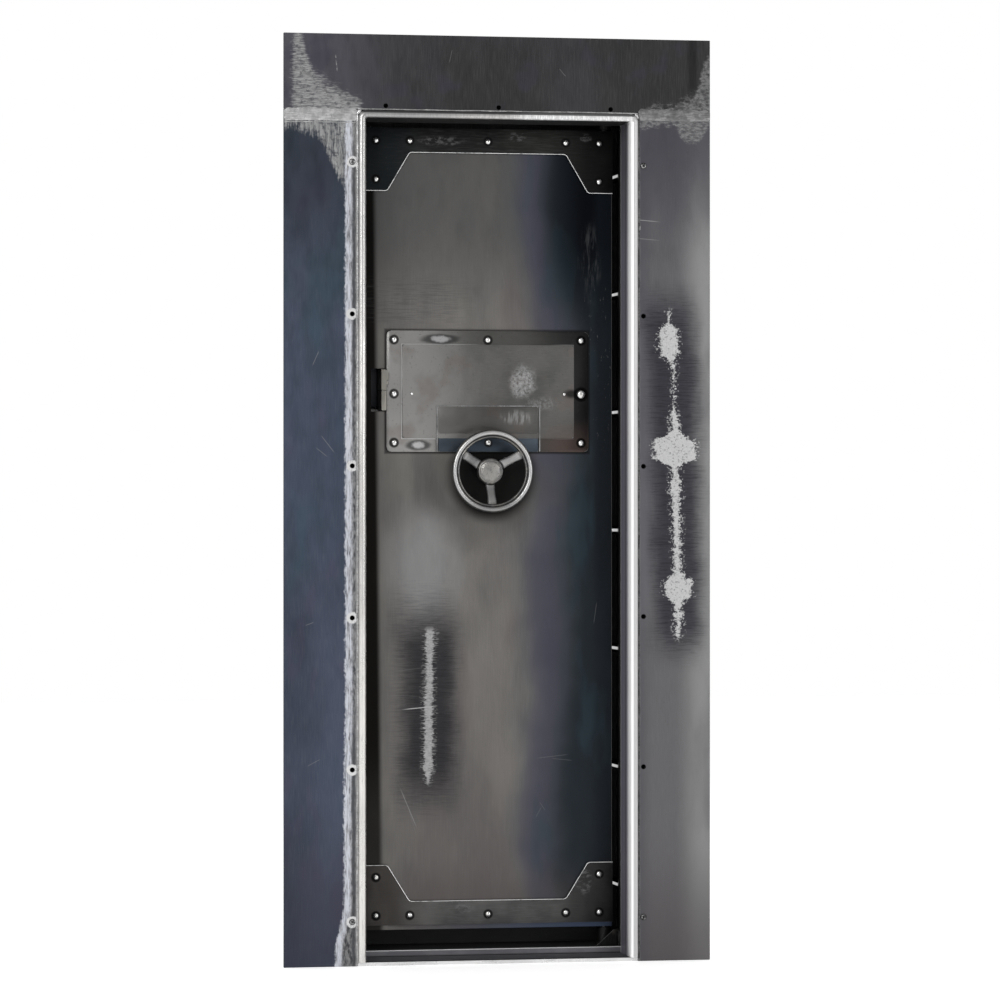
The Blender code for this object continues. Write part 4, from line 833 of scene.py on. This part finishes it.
def rounded(points, radii):
    """An outline with every corner rounded by its own radius (0 keeps it sharp)."""
    out = []
    for i, (point, radius) in enumerate(zip(points, radii)):
        if radius:
            out += corner_arc(points[i - 1], point, points[(i + 1) % len(points)], radius)
        else:
            out.append(point)
    return out


def box_outline(x0, x1, z0, z1, radius):
    return rounded([(x0, z0), (x1, z0), (x1, z1), (x0, z1)], [radius] * 4)


def wobble(x, y, z, cells, seed=0.0):
    return noise.noise(Vector((x * cells + seed, y * cells + seed * 1.7, z * cells - seed)))


# ---------- frame pieces ----------
LINER_HALF = 0.3405  # the middle of the liner's thickness
LINER_TOP = 2.0904


def liner():
    """One continuous liner round the opening, with a rounded nose and a bend at each head corner."""
    half, nose, back, front = 0.010, 0.0092, 0.106, -0.020
    arc = [math.radians(a) for a in range(0, 91, 15)]
    profile = [(-half, back)]
    profile += [(-half + nose - nose * math.cos(a), front + nose - nose * math.sin(a)) for a in arc]
    profile += [(half - nose + nose * math.sin(a), front + nose - nose * math.cos(a)) for a in arc[1:]]
    profile += [(half, back)]
    bend, low, steps = 0.0125, 0.0099, 90
    path = [(Vector((-LINER_HALF, low + (LINER_TOP - bend - low) * i / steps)), Vector((-1, 0)))
            for i in range(steps)]
    for centre_x, start in ((bend - LINER_HALF, 180), (LINER_HALF - bend, 90)):
        for i in range(9):
            a = math.radians(start - 90 * i / 8)
            out = Vector((math.cos(a), math.sin(a)))
            path.append((Vector((centre_x, LINER_TOP - bend)) + out * bend, out))
        if start == 180:
            run = 2 * (LINER_HALF - bend)
            path += [(Vector((centre_x + run * i / 40, LINER_TOP)), Vector((0, 1))) for i in range(1, 40)]
    path += [(Vector((LINER_HALF, low + (LINER_TOP - bend - low) * i / steps)), Vector((1, 0)))
             for i in reversed(range(steps))]
    bm = bmesh.new()
    rings = []
    for at, out in path:
        ring = []
        for u, y in profile:
            x, z = at + out * u
            shift = 0.00035 * wobble(x, y, z, 9.0, 3.0) if y < -0.006 else 0.0
            ring.append(bm.verts.new((x + shift, y + shift * 0.6, z)))
        rings.append(ring)
    ring_faces(bm, rings)
    piece("liner", bm, [liner_look()], "frame", "bright_steel",
          ("jamb_liner_left", "jamb_liner_right", "head_liner"))


def weld_rope(name, runs, radius, cells, look, seed, slot="bright_steel"):
    """Weld beads along straight runs, with scallops and uneven width."""
    bm = bmesh.new()
    for start, end in runs:
        start, end = Vector(start), Vector(end)
        along = (end - start).normalized()
        side = along.cross(Vector((0, 1, 0))).normalized()
        length = (end - start).length
        steps = max(8, int(length / 0.004))
        rings = []
        for i in range(steps + 1):
            t = i / steps
            at = start + (end - start) * t
            swell = 1 + 0.30 * wobble(*at, cells, seed) + 0.10 * math.sin(t * length / 0.004 * math.tau / 2.2)
            taper = min(1.0, 0.35 + 8 * min(t, 1 - t) * length / 0.05)
            size = radius * swell * taper
            drift = side * (radius * 0.5 * wobble(*at, cells * 0.6, seed + 5))
            ring = []
            for k in range(10):
                a = math.tau * k / 10
                out = side * (size * math.cos(a)) + Vector((0, size * math.sin(a), 0))
                ring.append(bm.verts.new(at + drift + out))
            rings.append(ring)
        ring_faces(bm, rings)
    piece(name, bm, [look], "frame", slot)


def seam(name, x0, x1, middle, half, look, seed):
    """The ground-down weld between a side plate and the head plate: a low, uneven, scalloped ridge."""
    bm = bmesh.new()
    columns, rows = 90, 8
    low, high = [], []
    for i in range(columns + 1):
        x = x0 + (x1 - x0) * i / columns
        ends = min(1.0, 0.6 + 12 * min(i, columns - i) / columns)
        scallops = 0.18 * wobble(x, 1, 0, 110, seed) + 0.12 * wobble(x, 4, 0, 40, seed)
        top_z = middle + ends * half * (1 + scallops)
        low_z = middle - ends * half * (1 + 0.10 * wobble(x, 3, 0, 50, seed))
        top, bottom = [], []
        for j in range(rows + 1):
            across = j / rows
            z = low_z + (top_z - low_z) * across
            crown = 0.0013 * (1 - (2 * across - 1) ** 4) + 0.0003 * wobble(x, 2, z, 120, seed)
            top.append(bm.verts.new((x, FACE_Y - max(0.00005, crown), z)))
            bottom.append(bm.verts.new((x, FACE_Y + 0.001, z)))
        low.append(bottom)
        high.append(top)
    for i in range(columns):
        for j in range(rows):
            bm.faces.new((high[i][j], high[i + 1][j], high[i + 1][j + 1], high[i][j + 1]))
            bm.faces.new((low[i][j + 1], low[i + 1][j + 1], low[i + 1][j], low[i][j]))
        for j, flip in ((0, 1), (rows, 0)):
            side = (high[i][j], low[i][j], low[i + 1][j], high[i + 1][j])
            bm.faces.new(side if flip else tuple(reversed(side)))
    for i in (0, columns):
        for j in range(rows):
            bm.faces.new((high[i][j], high[i][j + 1], low[i][j + 1], low[i][j]))
    piece(name, bm, [look], "frame", "bright_steel")


def gusset(look):
    """The small wedge on the threshold beside the lower pivot, and its turned-up edge at the jamb."""
    wedge = [(0.2700, 0.0256), (0.3270, 0.0256), (0.3270, 0.0660), (0.3150, 0.0660)]
    plates("pivot_gusset", [(wedge, 0.1180, 0.1240, 0.0006)], look, "frame", "dark_steel")
    flange = box_outline(0.3278, 0.3296, 0.0256, 0.0640, 0.0006)
    plates("gusset_edge", [(flange, 0.1150, 0.1260, 0.0004)], look[1:] * 2, "frame", "bright_steel")


def frame_screw(side, row, look):
    """A pan head screw with a cross drive in the line of holes."""
    x = -HOLE_X if side == "left" else HOLE_X
    z = HOLE_BOTTOM + (0 if row == "bottom" else 5 * HOLE_PITCH)
    bm = bmesh.new()
    profile = [(0, 0.006), (0.0062, 0.006), (0.0078, 0.0005), (0.0078, -0.0010), (0.0072, -0.0021),
               (0.0058, -0.0029), (0.0030, -0.0033), (0.0026, -0.0018), (0, -0.0016)]
    lathe(bm, profile, (x, FACE_Y, z), 40)
    piece(f"screw_{side}_{row}", bm, [look], "frame", "screw_steel", (f"frame_screw_{row}_{side}",))


# ---------- leaf pieces ----------
def reinforcing(name, edge, middle, wing, rivets, looks):
    """A riveted plate across the leaf with rounded inner corners and a rounded front edge, painted with a
    highlight on the inner outline.
    """
    right = [(0.318, edge), (0.318, wing), (0.2545, wing), (0.198, middle)]
    points = right + [(-x, z) for x, z in reversed(right)]
    radii = [0.0015, 0.002, 0.012, 0.012, 0.012, 0.012, 0.002, 0.0015]
    if middle < edge:
        points = points[::-1]
        radii = radii[::-1]
    bm = bmesh.new()
    slab(bm, rounded(points, radii), PLATE_Y, LEAF_Y, 0.0012)
    for x, z in rivets:
        lathe(bm, dome(0.0072, 0.0046), (x, PLATE_Y, z), 36, 2)
    inside = [(0.3174, wing), (0.2545, wing), (0.198, middle)]
    inside += [(-x, z) for x, z in reversed(inside)]
    sheared_edge(bm, rounded(inside, [0, 0.012, 0.012, 0.012, 0.012, 0]), 1 if edge > middle else -1)
    piece(f"{name}_detail", bm, looks, "door", "leaf_steel", (name,))


def sheared_edge(bm, line, inward):
    """The raised burr along the inner outline of a reinforcing plate, which takes the painted highlight."""
    width, front, back = 0.0013, PLATE_Y - 0.0005, PLATE_Y + 0.0015
    rings = []
    for i, (x, z) in enumerate(line):
        before, after = Vector(line[max(i - 1, 0)]), Vector(line[min(i + 1, len(line) - 1)])
        along = (after - before).normalized()
        normal = Vector((along.y, -along.x)) * inward
        x2, z2 = x + normal.x * width, z + normal.y * width
        low = 0.0002 * wobble(x, 0, z, 60)
        rings.append([bm.verts.new(p) for p in ((x, front + low + 0.0004, z), (x2, front + low, z2),
                                                (x2, back, z2), (x, back, z))])
    start = len(bm.faces)
    ring_faces(bm, rings)
    bm.faces.ensure_lookup_table()
    for face in bm.faces[start:]:
        face.material_index = 1


def lock_cover(looks):
    """The cover plate with its raised, sloped-edge panel and two studs."""
    bm = bmesh.new()
    slab(bm, box_outline(-COVER[0], *COVER, 0.012), COVER_Y, LEAF_Y, 0.0013)
    slab(bm, box_outline(-PANEL[0], *PANEL, 0.0045), PANEL_Y, COVER_Y + 0.0003, 0.0026, 4)
    for x in (-0.1935, 0.1935):
        lathe(bm, dome(0.0040, 0.0022), (x, PANEL_Y, COVER_ROWS[1]), 28, 2)
    piece("lock_cover_detail", bm, looks, "door", "cover_steel", ("lock_cover",))


def insert(looks):
    """The removable plate below the panel, whose lower half steps back from its upper half."""
    rows = [(box_outline(-0.1262, 0.1262, 1.3095, 1.3760, 0.0025), 0.1388, INSERT_BACK_Y, 0.0008),
            (box_outline(-0.1262, 0.1262, 1.2640, 1.3085, 0.0025), STEP_Y, INSERT_BACK_Y, 0.0008)]
    plates("insert_detail", rows, looks, "door", "cover_steel", ("lock_cover_insert",))


def insert_frame(look):
    """The raised lips on both sides of the insert and above it."""
    rows = [(box_outline(x - 0.0016, x + 0.0016, 1.2645, 1.3795, 0.0012), 0.1376, INSERT_BACK_Y, 0.0009)
            for x in (-0.1300, 0.1300)]
    rows += [(box_outline(-0.1284, 0.1284, 1.3772, 1.3798, 0.0008), 0.1382, INSERT_BACK_Y, 0.0007)]
    plates("insert_lips", rows, look, "door", "cover_steel")


def cover_screws(look):
    """Dome screws round the cover; the one at the right of the middle row is larger."""
    for height, z in zip(("bottom", "middle", "top"), COVER_ROWS):
        for place, sign in (("left", -1), ("middle", 0), ("right", 1)):
            name = f"{height}_{place}"
            if name == "middle_middle":
                continue
            big = 1.45 if name == "middle_right" else 1.0
            face = STEP_Y if name == "bottom_middle" else COVER_Y
            bm = bmesh.new()
            lathe(bm, [(r * big, a * big if a < 0 else a) for r, a in dome(0.0076, 0.0046)],
                  (sign * COVER_SCREW_X, face, z), 36)
            piece(f"cover_screw_{name}_detail", bm, [look], "door", "screw_steel", (f"cover_screw_{name}",))


def bolt_tab(looks):
    """The tab on the bolt bar: two leaves with a joint line, a shouldered head and a small nub."""
    upper = [(-0.2703, 1.4170), (-0.2578, 1.4170), (-0.2578, 1.4400), (-0.2527, 1.4440), (-0.2527, 1.4620),
             (-0.2610, 1.4685), (-0.2703, 1.4685)]
    radii = [0.0006, 0.0006, 0.002, 0.002, 0.003, 0.003, 0.0015]
    back = 0.2020  # inside the leaf, where the bolt bar is
    rows = [(rounded(upper, radii), 0.1370, back, 0.0010),
            (box_outline(-0.2700, -0.2582, 1.3665, 1.4160, 0.0018), 0.1378, back, 0.0010),
            (box_outline(-0.2585, -0.2535, 1.4310, 1.4395, 0.0015), 0.1385, 0.1500, 0.0008)]
    plates("bolt_tab_detail", rows, looks, "bolts", "dark_steel", ("bolt_tab",))


def dog_pin(number, look):
    """A fixed pin with a turned, rounded end, across the gap on the right."""
    low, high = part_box(f"dog_pin_{number}")
    length, radius = high.x - low.x, (high.z - low.z) / 2
    profile = [(0, 0.0), (radius, 0.0), (radius, length - 0.0035), (radius - 0.0012, length - 0.0010),
               (radius - 0.0028, length), (0, length)]
    bm = bmesh.new()
    lathe(bm, profile, (low.x, (low.y + high.y) / 2, (low.z + high.z) / 2), 48, 0, TO_X)
    piece(f"dog_pin_{number}_detail", bm, [look], "door", "pin_steel", (f"dog_pin_{number}",))


def handwheel(look):
    """A cast wheel: grooved rim, three tapering spokes and a dished hub, melted together by remeshing."""
    bm = bmesh.new()
    rim, ledge = (0.0955, 0.0075, -0.0285, 0.0085), (0.0855, 0.0030, -0.0270, 0.0062)
    for middle, half_r, depth, half_y in (rim, ledge):
        turns = [math.radians(-180 + 15 * i) for i in range(24)]
        section = [(middle + half_r * math.cos(a), depth + half_y * math.sin(a)) for a in turns]
        rings = []
        for i in range(120):
            a = math.tau * i / 120
            rings.append([bm.verts.new((WHEEL.x + r * math.cos(a), WHEEL.y + y, WHEEL.z + r * math.sin(a)))
                          for r, y in section])
        ring_faces(bm, rings + [rings[0]], caps=False)
    hub = [(0, 0.0193), (0.0300, 0.0193), (0.0330, 0.0165), (0.0330, 0.0035), (0.0300, 0.0002), (0.0285, 0.0),
           (0, 0.0)]
    lathe(bm, hub, WHEEL, 96)
    thick = 0.0062
    for degrees in (30, 150, 270):
        a = math.radians(degrees)
        out, side = Vector((math.cos(a), 0, math.sin(a))), Vector((-math.sin(a), 0, math.cos(a)))
        rings = []
        for i in range(13):
            t = i / 12
            r = 0.020 + 0.070 * t
            centre = WHEEL + out * r + Vector((0, 0.0095 - 0.0355 * (t * t * (3 - 2 * t)), 0))
            half = 0.0112 + 0.0030 * (2 * t - 1) ** 2 - 0.0010 * t
            ring = []
            for k in range(16):
                b = math.tau * k / 16
                c, d = math.cos(b), math.sin(b)
                u = half * math.copysign(abs(c) ** 0.75, c)
                v = thick * math.copysign(abs(d) ** 0.85, d)
                ring.append(bm.verts.new(centre + side * u + Vector((0, v, 0))))
            rings.append(ring)
        ring_faces(bm, rings)
    made = piece("handwheel_detail", bm, [look], "wheel", "cast_metal", ("handwheel",))
    remesh = made.modifiers.new("Melt", "REMESH")
    remesh.mode = "VOXEL"
    remesh.voxel_size = 0.0009
    remesh.use_smooth_shade = True
    relax = made.modifiers.new("Relax", "SMOOTH")
    relax.factor = 0.5
    relax.iterations = 4
    bpy.context.view_layer.update()
    result = bpy.data.meshes.new_from_object(made.evaluated_get(bpy.context.evaluated_depsgraph_get()))
    made.modifiers.clear()
    made.data = result
    if not result.materials:
        result.materials.append(look)


def hub_cap(look):
    """The flat cast cap with a stepped rim and a ring of cast dots."""
    bm = bmesh.new()
    profile = [(0, 0.0005), (0.0300, 0.0005), (0.0312, -0.0010), (0.0310, -0.0034), (0.0298, -0.0048),
               (0.0284, -0.0052), (0.0274, -0.0040), (0.0262, -0.0040), (0.0250, -0.0052), (0.0180, -0.0062),
               (0.0080, -0.0068), (0, -0.0070)]
    lathe(bm, profile, WHEEL, 72)
    for i in range(22):
        a = math.tau * i / 22
        at = WHEEL + Vector((0.0225 * math.cos(a), -0.0054, 0.0225 * math.sin(a)))
        lathe(bm, dome(0.0014, 0.0011, 0.001, 4), at, 10)
    piece("hub_cap_detail", bm, [look], "wheel", "cast_metal", ("hub_cap",))


# ---------- pieces at the back ----------
def channel_welds(look):
    """Stitch welds that hold the channels to the backs of the face plates."""
    radius, cells, inset = 0.0045, 40, 0.002
    for word, sign in (("left", -1), ("right", 1)):
        low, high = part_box(f"jamb_casing_{word}")
        x, y, step = high.x if sign > 0 else low.x, low.y + inset, (high.z - low.z) / 8
        runs = [[(x, y, low.z + step * (i + end)) for end in (0.35, 0.65)] for i in range(8)]
        weld_rope(f"stitches_{word}", runs, radius, cells, look, sign + 20.0, "dark_steel")
    low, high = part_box("head_casing")
    y, step = low.y + inset, (high.x - low.x) / 4
    runs = [[(low.x + step * (i + end), y, high.z) for end in (0.3, 0.7)] for i in range(4)]
    weld_rope("stitches_head", runs, radius, cells, look, 24.0, "dark_steel")


def back_screws(look):
    """Dome screws round the edge of the leaf's back plate."""
    low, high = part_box("door_back_plate")
    inset, rows, columns = 0.040, 8, 3
    left, right = low.x + inset, high.x - inset
    bottom, top = low.z + inset, high.z - inset
    places = [(x, bottom + (top - bottom) * i / (rows - 1)) for x in (left, right) for i in range(rows)]
    places += [(left + (right - left) * i / columns, z) for z in (bottom, top) for i in range(1, columns)]
    bm = bmesh.new()
    for x, z in places:
        lathe(bm, [(r, -a) for r, a in dome(0.0060, 0.0032, 0.0015)], (x, high.y, z), 28)
    piece("back_plate_screws", bm, [look], "door", "screw_steel")


# ---------- build ----------
rivet = rivet_look()
edge = bright_edge_look()
weld = weld_look()
dull_weld = weld_look("dull_weld_look", 62)

liner()
seam("seam_left", -FACE_OUTER, -FACE_INNER, 2.0880, 0.0150, weld, 2.0)
seam("seam_right", FACE_INNER, FACE_OUTER, 2.0985, 0.0140, weld_look("weld_right_look", 104), 9.0)
under_seam = [((-0.5310, -0.0102, 2.0690), (-0.3540, -0.0102, 2.0690))]
weld_rope("bead_seam_left", under_seam, 0.0012, 30, weld, 11.0)
for sign, word, tone, shine, bead in ((-1, "left", 84, 170, weld), (1, "right", 48, 140, dull_weld)):
    x = sign * 0.3522
    upright = [((x, BEAD_Y, 0.004), (x, BEAD_Y, 2.098))]
    weld_rope(f"bead_{word}", upright, 0.0024, 30, bead, sign + 3.0)
    corner = (sign * 0.3530, -0.0090, 2.0880), (sign * 0.3420, -0.0090, 2.1020)
    weld_rope(f"bead_corner_{word}", [corner], 0.0048, 60, weld, sign + 8.0)
    for row in ("bottom", "top"):
        frame_screw(word, row, drive_screw_look(f"frame_screw_look_{word}_{row}", tone, shine))
across = [((-0.350, BEAD_Y, 2.1018), (0.350, BEAD_Y, 2.1018))]
weld_rope("bead_head", across, 0.0021, 30, weld, 7.0)

thin_edge = outline_look()
top_tones = grey(28), rgb(40, 40, 38), rgb(16, 22, 26), grey(16)
bottom_tones = grey(64), rgb(84, 83, 82), rgb(54, 50, 47), grey(40)
for end, heights, row, tones in (("top", (2.071, 2.010, 1.9135), (2.0397, 1.943), top_tones),
                                 ("bottom", (0.0835, 0.143, 0.234), (0.1077, 0.2035), bottom_tones)):
    rivets = [(x, row[0]) for x in RIVET_X] + [(x, row[1]) for x in (RIVET_X[0], RIVET_X[-1])]
    steel = reinforcing_look(f"{end}_plate_look", *tones, rivets)
    reinforcing(f"reinforcing_plate_{end}", *heights, rivets, [steel, thin_edge, rivet])

cover_edge = bright_edge_look("cover_edge", 122, 0.30)
lock_cover([cover_look("cover_look"), cover_edge, rivet])
insert([cover_look("insert_look", insert=True), cover_edge])
insert_frame([cover_edge, cover_edge])
cover_screws(rivet)
bolt_tab([plain_steel("tab_look", rgb(128, 126, 119), rgb(152, 149, 141), 0.4), edge])
handwheel(cast_look(98))
hub_cap(cast_look(118))
# The gusset wedge is near black: painted shade for the dark corner beside the lower pivot.
gusset([plain_steel("gusset_look", grey(6), grey(12), 0.6), bright_edge_look("gusset_edge_look", 90)])
channel_welds(dull_weld)
back_screws(bright_edge_look("back_screw_look", 132, 0.3))
pin_look = pin_steel_look()
for number in range(1, 8):
    dog_pin(number, pin_look)

for material, names in (
    (left_plate_look(), ["face_plate_left"]),
    (right_plate_look(), ["face_plate_right"]),
    (head_plate_look(), ["face_plate_head"]),
    (leaf_look(), ["door_front_plate"]),
    (sill_look(), ["sill_plate"]),
    (threshold_look(), ["threshold_plate"]),
    (bronze_look(), ["spindle_bearing"]),
    (casing_look(), ["jamb_casing_left", "jamb_casing_right", "head_casing"]),
    # stop_look and inner_look are near black: painted shade on the parts inside the reveal and inside the
    # leaf.
    (plain_steel("stop_look", grey(20), grey(34), 0.5),
     ["rear_stop", "strike_bar_left", "strike_bar_right", "pivot_bush_bottom", "pivot_bush_top"]),
    (plain_steel("inner_look", grey(26), grey(42), 0.5),
     ["door_stile_left", "door_stile_right", "door_rail_top", "door_rail_bottom", "bolt_bar"]),
    (plain_steel("back_look", rgb(66, 68, 74), rgb(90, 91, 96), 0.44), ["door_back_plate"]),
    (plain_steel("turned_look", grey(120), grey(150), 0.3, 0.9, 600),
     ["pivot_pin_top", "pivot_pin_bottom", "spindle", "pinion", "rack"] + [f"bolt_{i}" for i in range(1, 5)]),
):
    for name in names:
        NODES[name].data.materials.clear()
        NODES[name].data.materials.append(material)

# ---------- studio ----------
scene = bpy.context.scene
scene.view_settings.view_transform = "Standard"

floor_mesh = bpy.data.meshes.new("floor")
floor_bm = bmesh.new()
bmesh.ops.create_grid(floor_bm, x_segments=8, y_segments=8, size=14)
floor_bm.to_mesh(floor_mesh)
floor_bm.free()
floor = bpy.data.objects.new("floor", floor_mesh)
floor.location = (0, 0, -0.0005)
scene.collection.objects.link(floor)
floor_mesh.materials.append(floor_look())

world = bpy.data.worlds.new("studio")
scene.world = world
world.use_nodes = True
backdrop = world.node_tree.nodes["Background"]
backdrop.inputs["Color"].default_value = (1, 1, 1, 1)
seen = world.node_tree.nodes.new("ShaderNodeLightPath").outputs["Is Camera Ray"]
level = world.node_tree.nodes.new("ShaderNodeMapRange")
level.inputs["To Min"].default_value = 0.62
level.inputs["To Max"].default_value = 1.0
world.node_tree.links.new(seen, level.inputs["Value"])
world.node_tree.links.new(level.outputs["Result"], backdrop.inputs["Strength"])


def area(name, place, target, size, power, tall=None):
    data = bpy.data.lights.new(name, "AREA")
    data.energy = power
    data.shape = "RECTANGLE"
    data.size = size
    data.size_y = tall or size
    light = bpy.data.objects.new(name, data)
    light.location = place
    light.rotation_euler = (Vector(target) - Vector(place)).to_track_quat("-Z", "Y").to_euler()
    scene.collection.objects.link(light)


area("key", (-3.0, -5.0, 3.4), (0, 0, 1.1), 2.2, 160)
area("fill", (3.6, -4.4, 2.2), (0, 0, 1.0), 2.0, 60)
area("rim", (0.0, 4.0, 4.0), (0, 0.2, 1.0), 2.4, 90)

camera_data = bpy.data.cameras.new("camera")
camera_data.lens = 153.06
camera_data.sensor_width = 36
camera_data.clip_end = 100
camera = bpy.data.objects.new("camera", camera_data)
camera.location = (-1.8222, -10.3335, 1.1359)
camera.rotation_euler = (math.radians(90) + 0.0007, 0, -0.175)
scene.collection.objects.link(camera)
scene.camera = camera
